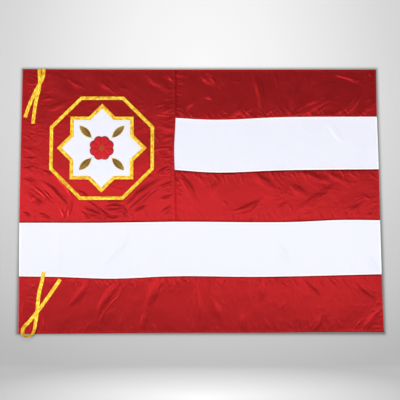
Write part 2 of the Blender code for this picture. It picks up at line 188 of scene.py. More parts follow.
# The main folds: a low ridge from one end to the other, bowed sideways, with its half width and height.
Fold = namedtuple("Fold", "x0 y0 x1 y1 bow wide high")
FOLDS = [Fold(*row) for row in (
    # Square red panel, above the emblem and on both sides of it
    (-212, 438, -96, 350, 6, 30, 2.5), (-348, 410, -308, 374, 0, 22, 1.8),
    (-448, 394, -398, 376, 4, 20, 1.5), (-524, 310, -458, 334, -5, 22, 2.0),
    (-153, 282, -92, 330, -4, 26, 2.5), (-140, 244, -92, 236, 0, 18, 1.3),
    # Square red panel, below the emblem
    (-262, -52, -128, 66, 8, 28, 2.8), (-534, 60, -436, -52, 9, 28, 3.0),
    (-592, 18, -518, -26, -4, 20, 2.0), (-594, 70, -546, 46, 0, 20, 1.5),
    (-330, -30, -256, -38, 6, 20, 2.0), (-396, -28, -322, -60, -4, 20, 2.0),
    (-130, -62, -100, -12, 0, 17, 1.5),
    # Top red stripe
    (0, 436, 48, 388, 0, 24, 2.0), (172, 438, 201, 284, 10, 25, 2.0),
    (330, 410, 292, 284, 6, 26, 2.3), (434, 346, 306, 283, 6, 23, 2.5),
    (540, 354, 484, 286, 4, 20, 2.0), (590, 338, 536, 284, 0, 19, 2.0),
    (446, 432, 552, 396, 4, 22, 2.0), (96, 276, 152, 330, -4, 19, 1.8),
    (-60, 300, -20, 344, 0, 18, 1.5),
    # Middle red stripe
    (-80, 86, -26, -22, 6, 25, 2.5), (66, 72, 38, -4, -4, 21, 2.0),
    (94, -44, 208, 4, -16, 22, 2.5), (166, 88, 252, 22, 4, 24, 2.3),
    (294, 48, 352, 6, 0, 21, 2.0), (332, 90, 434, 54, 3, 20, 2.0),
    (318, -40, 450, 50, -7, 24, 2.5), (424, 88, 496, 48, 3, 18, 1.8),
    (250, -58, 296, -12, 4, 18, 2.0), (484, -54, 542, -14, 5, 18, 1.8),
    # Bottom red stripe
    (-374, -268, -440, -356, 5, 23, 2.3), (-268, -272, -346, -396, -6, 25, 2.5),
    (-118, -266, -194, -378, -6, 23, 2.3), (-182, -356, -197, -438, 4, 20, 2.0),
    (-146, -270, -182, -332, 0, 16, 1.5), (-22, -266, -8, -440, 7, 21, 2.5),
    (28, -326, 66, -441, 6, 22, 2.3), (136, -368, 137, -441, 0, 19, 1.8),
    (208, -268, 191, -340, 0, 19, 1.8), (346, -264, 400, -322, 4, 19, 2.0),
    (508, -260, 580, -334, -6, 21, 2.5), (530, -438, 592, -366, 4, 21, 2.3),
    (398, -382, 368, -438, 0, 19, 2.0),
    # White stripes, whose folds are faint
    (-476, -100, -474, -252, 4, 20, 1.3), (-224, -92, -342, -232, 6, 24, 1.5),
    (250, -140, 292, -216, 0, 19, 1.3), (536, -180, 594, -244, 0, 18, 1.3),
    (420, 262, 480, 192, 0, 18, 1.3),
)]
FOLD_PAST = 0.1
FOLD_TIP = 0.6

# The fine creases between them, in the same columns.
CREASES = [Fold(*row) for row in (
    # Square red panel
    (-122, 432, -97, 396, 0, 12, 1.5), (-280, 378, -245, 368, 0, 10, 1.2),
    (-150, 168, -100, 172, 0, 9, 1.2), (-232, -44, -120, 44, 3, 10, 1.5),
    (-452, -20, -462, -72, 0, 12, 2.0), (-580, 34, -512, -2, 0, 9, 1.5),
    (-300, -52, -240, -44, 2, 10, 1.6), (-272, -48, -234, -66, 0, 9, 1.5),
    (-369, -64, -307, -70, 0, 8, 1.2), (-117, 35, -103, 10, 0, 8, 1.0),
    (-152, 84, -99, 77, 0, 9, 1.3),
    (-573, 50, -493, -21, 4, 11, 4.6), (-533, 30, -487, -19, 3, 9, 4.2),
    (-572, 10, -534, -19, 2, 9, 3.8), (-495, 86, -434, -1, 6, 13, 5),
    (-426, -1, -439, -67, -4, 12, 4.6), (-419, 30, -377, 3, 2, 9, 3.8),
    (-386, -3, -307, -49, -5, 12, 4.6), (-325, -7, -256, -11, 5, 11, 4.2),
    (-351, -35, -268, -63, -4, 10, 4.2), (-284, -25, -242, -49, 2, 10, 3.8),
    (-170, 158, -115, 174, 2, 11, 1.8), (-135, 140, -97, 136, 0, 9, 1.5),
    (-159, 215, -141, 188, 2, 9, 1.4), (-154, 80, -107, 104, 3, 10, 3.4),
    (-144, 38, -99, 54, 0, 9, 3.2), (-604, 215, -568, 202, 0, 10, 1.4),
    (-603, 173, -561, 164, 0, 10, 1.5), (-602, 136, -545, 138, 0, 10, 1.7),
    (-602, 98, -566, 108, 0, 10, 3.4), (-472, 413, -407, 375, 4, 13, 1.9),
    (-344, 401, -293, 362, 3, 12, 2), (-284, 380, -246, 376, 0, 10, 1.4),
    (-596, 399, -566, 392, 0, 9, 1.4), (-120, 430, -98, 395, 0, 10, 0.9),
    (-161, 307, -113, 328, 4, 11, 1.8), (-159, 278, -97, 283, 2, 11, 1.6),
    (-544, -45, -504, -65, 0, 9, 3.4), (-599, -45, -567, -61, 0, 9, 3.4),
    (-138, -1, -94, 10, 2, 9, 3.4), (-228, -45, -181, -21, 0, 10, 3.4),
    (-473, -29, -449, -69, 0, 10, 3.8), (-402, -45, -370, -67, 0, 9, 3.2),
    (-551, 332, -491, 342, 3, 13, 1.8), (-534, 98, -494, 76, 0, 10, 3.4),
    # Top red stripe
    (18, 430, 46, 393, 2, 12, 2.8), (-84, 300, -55, 283, 0, 10, 2.2),
    (76, 423, 62, 376, 0, 14, 1.8), (300, 284, 420, 352, 3, 9, 1.5),
    (144, 283, 181, 320, 0, 10, 1.8), (218, 287, 254, 311, 0, 10, 1.6),
    (8, 346, 36, 336, 0, 10, 2.6), (380, 284, 440, 322, 2, 10, 1.4),
    (440, 284, 520, 330, -2, 11, 1.5), (560, 286, 592, 318, 0, 9, 1.3),
    (454, 428, 500, 405, 0, 10, 1.2), (560, 430, 585, 415, 0, 8, 1.2),
    (250, 430, 262, 380, 0, 10, 1.2), (100, 400, 140, 395, 0, 12, 0.9),
    # Middle red stripe
    (70, -2, 84, -24, 0, 14, 2.0), (66, 80, 122, 78, 0, 10, 1.8),
    (151, -52, 202, -2, 0, 10, 2.0), (288, -18, 306, -48, 0, 11, 1.8),
    (490, 88, 530, 74, 0, 9, 1.5), (554, 90, 594, 63, 0, 10, 1.6),
    (543, 17, 565, -6, 0, 12, 1.8), (446, -61, 465, -29, 0, 10, 1.5),
    (338, -61, 378, -52, 6, 9, 1.5), (537, -61, 592, -47, 0, 9, 1.5),
    (-72, 60, -40, 0, 0, 9, 1.2),
    # Bottom red stripe
    (-251, -275, -274, -326, 0, 9, 1.6), (-208, -279, -227, -306, 0, 8, 1.4),
    (-256, -282, -322, -384, 3, 8, 1.5), (-38, -314, -37, -388, 0, 9, 1.8),
    (-566, -306, -548, -280, 0, 8, 1.2), (-589, -330, -588, -399, 0, 10, 1.5),
    (-569, -353, -556, -330, 0, 8, 1.2), (-526, -380, -517, -434, 0, 8, 1.6),
    (-312, -361, -339, -418, 0, 14, 1.8), (-261, -380, -269, -426, 0, 12, 1.4),
    (60, -333, 80, -361, 0, 9, 1.5), (377, -273, 400, -309, 0, 9, 1.6),
    (547, -276, 574, -321, 0, 9, 1.8), (500, -433, 536, -397, 0, 10, 1.6),
    (552, -433, 592, -385, 0, 8, 1.4), (375, -369, 366, -433, 0, 9, 1.5),
    (258, -361, 282, -337, 0, 12, 1.4), (290, -293, 289, -350, 0, 10, 1.2),
    # White stripes
    (-495, -142, -486, -244, 0, 9, 0.9), (-208, -189, -216, -244, 0, 9, 0.8),
    (-565, -173, -541, -220, 0, 9, 0.8), (513, -189, 496, -236, 0, 9, 0.8),
    (337, 247, 364, 224, 0, 9, 0.8),
)]

# The finer cloth lies flatter than its solid and creases more sharply; a fold has a steep flank and a long
# one, with crisp lines along both.
FOLD_SHARE = 0.45
FOLD_NARROW = 0.62
CREASE_SHARE = 0.3
CREASE_NARROW = 0.5
STEEP_FLANK = 0.8
LONG_FLANK = 1.5
FLANK_WIDE = (4.0, 6.0)
FLANK_HIGH = (0.18, 0.4)
WANDER_SIZE = 42.0
WANDER = 5.0

# How much of its folds and creases each panel shows, at its bottom and at its top.
FOLD_GAINS = {
    "canton_panel": (1.75, 0.85), "top_red_stripe": (1.8, 1.5), "middle_red_stripe": (1.1, 1.1),
    "bottom_red_stripe": (1.1, 1.1), "short_white_stripe": (3.0, 3.0), "long_white_stripe": (3.0, 3.0),
}

# Between folds and creases the satin is never quite smooth: slow waves, small folds that run the way
# of the main folds around them, and crumpled ridges.
WAVE_SIZE = 110.0
WAVE_HEIGHT = 0.5
HELD_WAVES = 0.35
GRAIN_TURNS = 6
GRAIN_REACH = 70.0
Relief = namedtuple("Relief", "size stretch high crest")
RELIEFS = {
    "red_satin": (Relief(34.0, 2.4, 0.26, 0.0), Relief(15.0, 3.0, 0.0, 0.32), Relief(9.0, 2.6, 0.0, 0.13)),
    "white_satin": (Relief(40.0, 2.4, 0.18, 0.0), Relief(24.0, 2.6, 0.0, 0.16)),
}

# The sewn middle of the upper tie lifts the cloth over it.
TIE_LIFT = 1.3
LIFT_MIDDLE_X = -542.0
LIFT_HALF_WIDE = 43.0
LIFT_FROM_Y = 405.0
LIFT_RAMP = 45.0

# The emblem: an eight-sided ribbon frame, a star of two crossed squares edged with ribbon, a rosette
# and four leaves.
RIBBON_WIDE = 12.0
RIBBON_THICK = 0.4
FRAME_ACROSS = 352.0
FRAME_SIDES = 8
STAR_RADIUS = 134.0
STAR_TIPS = 8
STAR_UNDER_EDGING = 1.2
ROSETTE_RADIUS = 42.0
ROSETTE_PETALS = 8
ROSETTE_NOTCH = 5.0
LEAVES = 4
FIRST_LEAF = 45
LEAF_ROUNDNESS = 0.8
LEAF_LONG = 56.0
LEAF_WIDE = 22.0
LEAF_FROM = 50.0
EMBLEM_GAP = 0.3
SEWN_GAP = 0.06
PATCH_STEP = 3.0
EMBROIDERY_BASE = 0.4
ROSETTE_BASE = 0.45
ROSETTE_THICK = 0.25
ROSETTE_SWELL = 1.35
VEIN_ENDS = (12.0, 34.0)
KNOTS = 46
KNOT_SPREAD = 1.32
LEAF_SWELL = 0.95
LEAF_THREADS = 0.78

# Shares across a ribbon where its mesh has a line, and where its stitch rows lie.
RIBBON_COLUMNS = np.array([0, 0.04, 0.12, 0.2, 0.36, 0.5, 0.64, 0.8, 0.88, 0.96, 1.0])
RIBBON_ROW = 0.12
MITRE_SHARES = (0.0, 0.012, 0.03, 0.97, 0.988)

# How a sewn ribbon swells between its rows, dips along them and at its edges, and folds at a mitre.
RIBBON_SWELL = 0.12
RIBBON_DIP = 0.16
RIBBON_EDGE = 0.2
RIBBON_RIPPLE = 0.16
MITRE_DIP = 0.22
RIBBON_LEAST = 0.12

# A tie's route, by the middle of its width and thickness; the lean turns its right-hand edge down.
ON_CLOTH = 2.0
Stop = namedtuple("Stop", "x y z lean", defaults=(ON_CLOTH, 0))
ON_STRAND = 3.3
UNDER_CLOTH = 0.5
EDGE_BEND = 1.4
EDGE_MIDDLE_Z = 1.9
EDGE_Y = 442.3


def over_edge(x, down=True):
    """The stops of a ribbon that turns round the lifted top edge of the cloth."""
    turns = np.radians(np.arange(90, -91, -30))
    stops = [Stop(x, EDGE_Y + EDGE_BEND * math.cos(turn), EDGE_MIDDLE_Z + EDGE_BEND * math.sin(turn))
             for turn in turns]
    return stops if down else stops[::-1]


UPPER_TIE = (
    Stop(-568, 255), Stop(-564, 295), Stop(-560, 326), Stop(-555, 350, ON_STRAND),
    Stop(-550, 370, ON_STRAND + 0.3 * TIE_LIFT), Stop(-547, 391, ON_STRAND + 0.75 * TIE_LIFT),
    Stop(-548, 412, ON_STRAND + TIE_LIFT), Stop(-549, 424, ON_STRAND + TIE_LIFT),
    Stop(-549, 438, ON_CLOTH + TIE_LIFT),
    *over_edge(-549),
    Stop(-550, 436, UNDER_CLOTH), Stop(-551, 428, UNDER_CLOTH), Stop(-548.4, 421.6, UNDER_CLOTH),
    Stop(-542, 419, UNDER_CLOTH), Stop(-535.6, 421.6, UNDER_CLOTH), Stop(-533, 428, UNDER_CLOTH),
    Stop(-534, 436, UNDER_CLOTH),
    *over_edge(-535, down=False),
    Stop(-535, 430, ON_CLOTH + TIE_LIFT), Stop(-536, 419, ON_CLOTH + TIE_LIFT),
    Stop(-543, 400, ON_CLOTH + 0.9 * TIE_LIFT), Stop(-557, 374, ON_CLOTH + 0.35 * TIE_LIFT),
    Stop(-566, 354), Stop(-574, 336), Stop(-583, 313), Stop(-595, 276),
)
LOWER_TIE = (
    Stop(-522, -244), Stop(-529, -281), Stop(-537, -316), Stop(-540, -351), Stop(-541, -368),
    Stop(-544, -394), Stop(-547, -416, 2.9, 8), Stop(-549, -430, 4.0, 18), Stop(-552.5, -442, 5.5, 34),
    Stop(-560, -451, 6.4, 50), Stop(-571, -455, 5.6, 55), Stop(-582, -452.5, 6.4, 50),
    Stop(-588, -444, 5.5, 34), Stop(-588, -434, 4.0, 18), Stop(-581, -422, 2.9, 8), Stop(-568, -408),
    Stop(-557, -395, ON_STRAND), Stop(-542, -376, ON_STRAND), Stop(-528, -358, ON_STRAND),
    Stop(-515, -339), Stop(-494, -309), Stop(-468, -269),
)
LEVEL_RUN = 0.7
TIE_STEP = 2.5
TIE_COLUMNS = 7
TIE_SINK = 0.42

# Threads: how wide one is, how far its middle stands proud, and how round and how flat it is drawn.
Thread = namedtuple("Thread", "wide hump sides rings flat", defaults=(4, 2, 0.7))
SEAM_THREAD = Thread(0.42, 0.16)
RIBBON_THREAD = Thread(0.4, 0.18)
TACK_THREAD = Thread(0.42, 0.2)
RIM_THREAD = Thread(0.62, 0.55, 5, 3)
VEIN_THREAD = Thread(0.6, 0.25)
KNOT_THREAD = Thread(1.25, 0.75, 6, 3, 0.8)
LEAF_THREAD = Thread(1.0, 0.62, 6, 4, 0.75)
OUTLINE_THREAD = Thread(2.1, 0.3, 6, 3)
STEM_THREAD = Thread(1.05, 0.25, 6, 3)

# Rows of stitches: where the first starts, what is spared at the end, how far apart and how long.
Row = namedtuple("Row", "first spare pitch long")
SEAM_ROW = Row(1.5, 1.5, 3.0, 2.5)
RIBBON_EDGE_ROW = Row(0.6, 2.4, 2.6, 2.0)
VEIN_ROW = Row(0.0, 0.0, 2.6, 2.2)
TACK_ROW = Row(0.2, 1.6, 2.0, 1.6)
TACK_WIDE = 9.0
TACK_HIGH = 7.0


def smooth(share):
    """An even rise from 0 to 1 that starts and ends level."""
    share = np.clip(share, 0.0, 1.0)
    return share * share * (3 - 2 * share)


def through(places, at):
    """The value, at each spot, of the smooth line through a few places."""
    spots = np.array([place.at for place in places], float)
    values = np.array([place.value for place in places], float)
    slopes = np.gradient(values, spots)
    i = np.clip(np.searchsorted(spots, at) - 1, 0, len(spots) - 2)
    step = spots[i + 1] - spots[i]
    share = (at - spots[i]) / step
    rise = share * share * (3 - 2 * share)
    start = slopes[i] * step * share * (1 - share) ** 2
    end = slopes[i + 1] * step * share ** 2 * (1 - share)
    return values[i] + (values[i + 1] - values[i]) * rise + start - end


def soft_noise(x, y, size, seed):
    """Smooth random hills and hollows, from about -1 to 1, each about as wide as the size."""
    table = np.random.default_rng(seed).uniform(-math.pi, math.pi, (64, 64))
    u = x / size
    v = y / size
    i = np.floor(u).astype(int)
    j = np.floor(v).astype(int)

    def corner(a, b):
        turn = table[(i + a) % 64, (j + b) % 64]
        return np.cos(turn) * (u - i - a) + np.sin(turn) * (v - j - b)

    ease_u = smooth(u - i)
    ease_v = smooth(v - j)
    low = corner(0, 0) * (1 - ease_u) + corner(1, 0) * ease_u
    high = corner(0, 1) * (1 - ease_u) + corner(1, 1) * ease_u
    return 1.5 * (low * (1 - ease_v) + high * ease_v)


def ridges(rows, x, y, share=1.0, narrow=1.0):
    """How high a table's folds or creases lift the cloth: ridges that wander and fade at both ends."""
    x = x + WANDER * soft_noise(x, y, WANDER_SIZE, 21)
    y = y + WANDER * soft_noise(x, y, WANDER_SIZE, 22)
    height = np.zeros_like(x)
    for number, fold in enumerate(rows):
        run = np.array([fold.x1 - fold.x0, fold.y1 - fold.y0], float)
        length = np.hypot(*run)
        reach = LONG_FLANK * narrow * fold.wide + abs(fold.bow)
        near = (x > min(fold.x0, fold.x1) - reach) & (x < max(fold.x0, fold.x1) + reach)
        near &= (y > min(fold.y0, fold.y1) - reach) & (y < max(fold.y0, fold.y1) + reach)
        away_x = x[near] - fold.x0
        away_y = y[near] - fold.y0
        along = (away_x * run[0] + away_y * run[1]) / length ** 2
        ends = smooth((np.minimum(along, 1 - along) + FOLD_PAST) / (0.5 + FOLD_PAST))
        wide = narrow * fold.wide * (FOLD_TIP + (1 - FOLD_TIP) * ends)
        across = (run[0] * away_y - run[1] * away_x) / length - 4 * fold.bow * along * (1 - along)
        steep = across > 0 if number % 2 else across < 0
        across = across / wide / np.where(steep, STEEP_FLANK, LONG_FLANK)
        bell = 0.5 + 0.5 * np.cos(math.pi * np.clip(across, -1, 1))
        height[near] += share * fold.high * ends * bell
    return height


def flank_lines(rows):
    """The crisp lines on both flanks of the main folds, each a little shorter than its fold."""
    rng = np.random.default_rng(11)
    lines = []
    for fold in rows:
        start = np.array([fold.x0, fold.y0], float)
        run = np.array([fold.x1, fold.y1], float) - start
        aside = np.array([-run[1], run[0]]) / np.hypot(*run) * fold.wide
        for hand in (-1, 1):
            offset = start + hand * aside * rng.uniform(0.3, 0.55)
            first = offset + run * rng.uniform(0.0, 0.3)
            last = offset + run * rng.uniform(0.65, 1.0)
            wide = rng.uniform(*FLANK_WIDE)
            lines.append(Fold(*first, *last, fold.bow, wide, rng.uniform(*FLANK_HIGH)))
    return lines


def span(plan, name, at):
    """Whether a panel's side is upright, which way lies inwards, and from where to where it runs."""
    upright = name in ("left", "right")
    before, after = (plan.bottom, plan.top) if upright else (plan.left, plan.right)
    inwards = 1 if name in ("left", "bottom") else -1
    return upright, inwards, through(before.line, at), through(after.line, at)


def seam_gathers(plan, seed):
    """Short slanting creases from a panel's stitched sides inwards, unevenly apart and unlike."""
    rng = np.random.default_rng(seed)
    gathers = []
    for name in SIDE_NAMES:
        edge = getattr(plan, name)
        upright, inwards, first, last = span(plan, name, 0.0)
        at = first + rng.uniform(4, 14)
        while at < last - 6:
            beside = through(edge.line, at) + inwards * SIDES[edge.kind].pull
            long = rng.uniform(*GATHER_LONG)
            slant = at + long * (-edge.lean + rng.normal(0, 0.25))
            deep = beside + inwards * long
            spots = (beside, at, deep, slant) if upright else (at, beside, slant, deep)
            high = edge.pucker * rng.uniform(0.5, 1.3)
            gathers.append(Fold(*spots, rng.uniform(-2, 2), rng.uniform(*GATHER_WIDE), high))
            at += rng.uniform(*GATHER_GAPS)
    return gathers


def grain(x, y):
    """How much of each of a few directions the folds around a place run in."""
    cosine = np.zeros_like(x)
    sine = np.zeros_like(x)
    for fold in FOLDS:
        double = 2 * math.atan2(fold.y1 - fold.y0, fold.x1 - fold.x0)
        away = (x - (fold.x0 + fold.x1) / 2) ** 2 + (y - (fold.y0 + fold.y1) / 2) ** 2
        weight = 1 / (1 + away / GRAIN_REACH ** 2) ** 2
        cosine += weight * math.cos(double)
        sine += weight * math.sin(double)
    length = np.hypot(cosine, sine) + 1e-6
    shares = []
    for turn in range(GRAIN_TURNS):
        double = 2 * math.pi * turn / GRAIN_TURNS
        shares.append(np.clip((cosine * math.cos(double) + sine * math.sin(double)) / length, 0, 1) ** 2)
    return np.array(shares) / np.sum(shares, axis=0)


def small_folds(x, y, relief, shares, seed):
    """Small folds that run the way of the main ones: rounded waves, and crests that come and go."""
    u = x + 0.4 * relief.size * soft_noise(x, y, 2 * relief.size, seed + 1)
    v = y + 0.4 * relief.size * soft_noise(x, y, 2 * relief.size, seed + 2)
    height = np.zeros_like(x)
    for turn, share in enumerate(shares):
        angle = math.pi * turn / GRAIN_TURNS
        along = u * math.cos(angle) + v * math.sin(angle)
        across = v * math.cos(angle) - u * math.sin(angle)
        wave = soft_noise(along / relief.stretch, across, relief.size, seed + 10 + turn)
        crest = smooth(1 - 2.4 * np.abs(wave))
        height += share * (relief.high * wave + relief.crest * crest)
    patch = smooth(0.5 + 0.9 * soft_noise(x, y, 3.1 * relief.size, seed + 3))
    return height * (patch if relief.crest else 1)


def tie_lift(x, y):
    """How high the sewn middle of the upper tie lifts the cloth over it."""
    sideways = 1 - (np.abs(x - LIFT_MIDDLE_X) - LIFT_HALF_WIDE) / LIFT_RAMP
    upwards = 1 + (y - LIFT_FROM_Y) / LIFT_RAMP
    return TIE_LIFT * np.clip(sideways, 0, 1) * np.clip(upwards, 0, 1)


def from_frame(x, y):
    """How far a place lies from the ribbon of the emblem's frame; less than 0 under it."""
    turns = np.radians(np.arange(FRAME_SIDES) * 360 / FRAME_SIDES)
    away = [(x - EMBLEM[0]) * math.cos(turn) + (y - EMBLEM[1]) * math.sin(turn) for turn in turns]
    past = np.max(away, axis=0) - FRAME_ACROSS / 2
    return np.abs(past + RIBBON_WIDE / 2) - RIBBON_WIDE / 2


def frame_puckers(x, y):
    """The frame's stitches gather the cloth on both sides of the ribbon."""
    away = from_frame(x, y)
    around = np.arctan2(y - EMBLEM[1], x - EMBLEM[0]) * FRAME_ACROSS / 2
    pull = np.exp(-np.clip(away, 0, None) / FRAME_PUCKER_SIZE) * (away > -RIBBON_WIDE)
    return FRAME_PUCKER * pull * soft_noise(around, away, FRAME_PUCKER_SIZE, 71)


def past_star(x, y):
    """How far a place lies outside the ribbon around the star; less than 0 inside it."""
    half_side = STAR_RADIUS / math.sqrt(2) + EMBLEM_GAP + RIBBON_WIDE
    u = x - EMBLEM[0]
    v = y - EMBLEM[1]
    level = np.maximum(np.abs(u), np.abs(v))
    turned = (np.abs(u) + np.abs(v)) / math.sqrt(2)
    return np.minimum(level, turned) - half_side


def painted_shade_beside_ribbons(x, y):
    """How much painted shade a place of the square panel takes from lying near a ribbon of the emblem."""
    away = np.minimum(from_frame(x, y), past_star(x, y))
    return RIBBON_PAINTED_SHADE * np.exp(-(np.clip(away, 0, None) / RIBBON_PAINTED_SHADE_REACH) ** 2)


def side_gaps(plan, x, y):
    """How far places on a panel lie from each of its sides."""
    return {
        "left": x - through(plan.left.line, y),
        "right": through(plan.right.line, y) - x,
        "bottom": y - through(plan.bottom.line, x),
        "top": through(plan.top.line, x) - y,
    }


def cloth(plan, x, y):
    """A panel's upper side at some places: its height and how double it is, and for its finish how far an
    edge is painted lighter, partly as a painted highlight, and how much painted shade it takes beside a
    seam or a ribbon of the emblem."""
    gaps = side_gaps(plan, x, y)
    loose = np.ones_like(x)
    height = np.zeros_like(x)
    doubled = np.zeros_like(x)
    bright = np.zeros_like(x)
    ditch = np.zeros_like(x)
    for number, (name, gap) in enumerate(gaps.items()):
        edge = getattr(plan, name)
        side = SIDES[edge.kind]
        run = y if name in ("left", "right") else x
        band = (1 - smooth((gap - side.band) / BAND_FADE)) * (side.band > 0)
        drop = np.exp(-(gap / side.reach) ** 2)
        height += side.rise * band - side.drop * drop
        for row in side.rows:
            height -= ROW_DIP * np.exp(-((gap - row) / ROW_REACH) ** 2)
        pull = np.exp(-np.abs(gap - side.pull) / PUCKER_REACH) * (1 - 0.6 * drop)
        slant = run + edge.lean * gap
        wave = soft_noise(slant, 0.35 * gap, PUCKER_SPACING, 40 + 5 * number)
        wave += WIDER_SHARE * soft_noise(slant, 0.2 * gap, WIDER_PUCKERS * PUCKER_SPACING, 43 + 5 * number)
        height += edge.pucker * pull * wave
        doubled = np.maximum(doubled, band)
        loose *= 1 - STILL * np.exp(-gap / STILL_REACH)
        # Near hems, the hoist and felled seams the edge is painted lighter, partly as the doubled cloth's
        # own tone and partly as a painted highlight; along tucked and plain seams the cloth gets painted
        # shade.
        if side.glow:
            bright = np.maximum(bright, 1 - smooth((gap - side.glow) / GLOW_FADE))
        elif not side.band:
            ditch = np.maximum(ditch, np.exp(-(gap / PAINTED_SHADE_REACH) ** 2))
    shares = grain(x, y)
    for number, relief in enumerate(RELIEFS[plan.finish]):
        height += loose * small_folds(x, y, relief, shares, 100 + 30 * number)
    if plan.name == "canton_panel":
        height += frame_puckers(x, y)
        # Painted shade beside the emblem's ribbons.
        ditch = np.maximum(ditch, painted_shade_beside_ribbons(x, y))
    height += WAVE_HEIGHT * (HELD_WAVES + (1 - HELD_WAVES) * loose) * soft_noise(x, y, WAVE_SIZE, 5)
    low_gain, high_gain = FOLD_GAINS[plan.name]
    upwards = np.clip(gaps["bottom"] / (gaps["bottom"] + gaps["top"]), 0, 1)
    folds = ridges(FOLDS, x, y, FOLD_SHARE, FOLD_NARROW) + ridges(FLANKS, x, y)
    folds += ridges(CREASES, x, y, CREASE_SHARE, CREASE_NARROW)
    height += folds * (low_gain + (high_gain - low_gain) * upwards) + ridges(GATHERS[plan.name], x, y)
    return CLOTH_TOP + height + tie_lift(x, y), doubled, bright, ditch


def ground(x, y):
    """The upper side of whichever panel lies at each place."""
    height = np.full_like(x, CLOTH_TOP)
    for plan in PANELS:
        here = np.min(list(side_gaps(plan, x, y).values()), axis=0) > 0
        if here.any():
            height[here] = cloth(plan, x[here], y[here])[0]
    return height


def world(points):
    """Millimetres from the middle of the cloth to metres in the frame."""
    return (np.asarray(points, float) + SHIFT) * MM


def add_piece(name, points, faces, finish, marks=(), sharp=45, weld=False):
    """A piece of the banner from its points and faces; the marks are values at points for its finish."""
    mesh = bpy.data.meshes.new(name)
    mesh.from_pydata(world(points).tolist(), [], faces)
    for mark, values in dict(marks).items():
        attribute = mesh.attributes.new(mark, "FLOAT", "POINT")
        attribute.data.foreach_set("value", np.asarray(values, np.float32).ravel())
    if weld:
        shape = bmesh.new()
        shape.from_mesh(mesh)
        bmesh.ops.remove_doubles(shape, verts=shape.verts, dist=1e-6)
        shape.to_mesh(mesh)
        shape.free()
    mesh.shade_smooth()
    mesh.set_sharp_from_angle(angle=math.radians(sharp))
    mesh.materials.append(FINISHES[finish])
    piece = bpy.data.objects.new(name, mesh)
    bpy.context.scene.collection.objects.link(piece)
    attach(piece, "root")
    return piece


def picks(count, step):
    """Every so many places of a row, with its last one."""
    return np.unique(np.append(np.arange(0, count, step), count - 1))


def closed_sheet(top, bottom, loop=False, step=1):
    """Points and faces of a sheet between two grids of points; a loop joins its last row to its first.

    The lower grid may be coarser: it then has every so many rows and columns of the upper one.
    """
    rows, columns = top.shape[:2]
    points = np.concatenate([top.reshape(-1, 3), bottom.reshape(-1, 3)])
    over = np.arange(rows * columns).reshape(rows, columns)
    under = rows * columns + np.arange(bottom[..., 0].size).reshape(bottom.shape[:2])
    down = picks(rows, step)
    along = picks(columns, step)
    if loop:
        over = np.vstack([over, over[:1]])
        under = np.vstack([under, under[:1]])
        down = np.append(down, rows)
    sides = [
        np.stack([over[:-1, :-1], over[:-1, 1:], over[1:, 1:], over[1:, :-1]], -1),
        np.stack([under[:-1, :-1], under[1:, :-1], under[1:, 1:], under[:-1, 1:]], -1),
    ]
    faces = np.concatenate([side.reshape(-1, 4) for side in sides]).tolist()
    rims = [(over[:, -1], under[:, -1], down), (over[::-1, 0], under[::-1, 0], down[-1] - down[::-1])]
    if not loop:
        rims.append((over[0], under[0], along))
        rims.append((over[-1, ::-1], under[-1, ::-1], along[-1] - along[::-1]))
    for upper, lower, stops in rims:
        for low, high, start, end in zip(lower, lower[1:], stops, stops[1:]):
            faces.append([int(low), int(high), *upper[start:end + 1][::-1].tolist()])
    return points, faces


def lowest_near(height, reach):
    """The lowest height within a few places of each one of a grid."""
    padded = np.pad(height, reach, mode="edge")
    rows, columns = height.shape
    steps = range(2 * reach + 1)
    return np.min([padded[i:i + rows, j:j + columns] for i in steps for j in steps], axis=0)


def join_shapes(shapes):
    """Several sets of points and faces as one."""
    points = np.concatenate([shape[0] for shape in shapes])
    faces = []
    start = 0
    for shape_points, shape_faces in shapes:
        faces += [[start + index for index in face] for face in shape_faces]
        start += len(shape_points)
    return points, faces


def strands(starts, ends, thread):
    """Many short threads at once, each in a low arch from its start to its end, closed at both tips."""
    wide, hump, sides, rings, flat = thread
    starts = np.asarray(starts, float)
    run = np.asarray(ends, float) - starts
    along = run / np.linalg.norm(run, axis=1, keepdims=True)
    side = np.cross(UP, along)
    side /= np.linalg.norm(side, axis=1, keepdims=True)
    lift = np.cross(along, side)
    shares = (np.arange(rings) + 0.5) / rings
    count = len(starts)
    block = 2 + rings * sides
    points = np.zeros((count, block, 3))
    points[:, 0] = starts
    points[:, 1] = starts + run
    for ring, share in enumerate(shares):
        arch = 4 * share * (1 - share)
        middle = starts + run * share + UP * hump * arch
        reach = wide / 2 * (0.55 + 0.45 * arch)
        for corner in range(sides):
            turn = 2 * math.pi * corner / sides
            spot = middle + side * reach * math.cos(turn) + lift * reach * flat * math.sin(turn)
            points[:, 2 + ring * sides + corner] = spot
    pattern = []
    for corner in range(sides):
        after = (corner + 1) % sides
        pattern.append((0, 2 + after, 2 + corner))
        last = 2 + (rings - 1) * sides
        pattern.append((1, last + corner, last + after))
        for ring in range(rings - 1):
            here = 2 + ring * sides
            beyond = here + sides
            pattern.append((here + corner, here + after, beyond + after, beyond + corner))
    faces = [[base + index for index in face] for base in range(0, count * block, block) for face in pattern]
    return points.reshape(-1, 3), faces


def cut(marks, step, least=1):
    """Some marks in a row, with even places between them, at most a step apart."""
    places = [marks[0]]
    for before, after in zip(marks, marks[1:]):
        steps = max(least, math.ceil((after - before) / step))
        places += [before + (after - before) * place / steps for place in range(1, steps + 1)]
    return np.array(places)


def stations(near, far, width, cell):
    """Shares across a panel: close together at stitch rows and band edges, a cell apart elsewhere."""
    marks = [*SIDES[near].marks, *(width - mark for mark in reversed(SIDES[far].marks))]
    return cut(marks, cell) / width


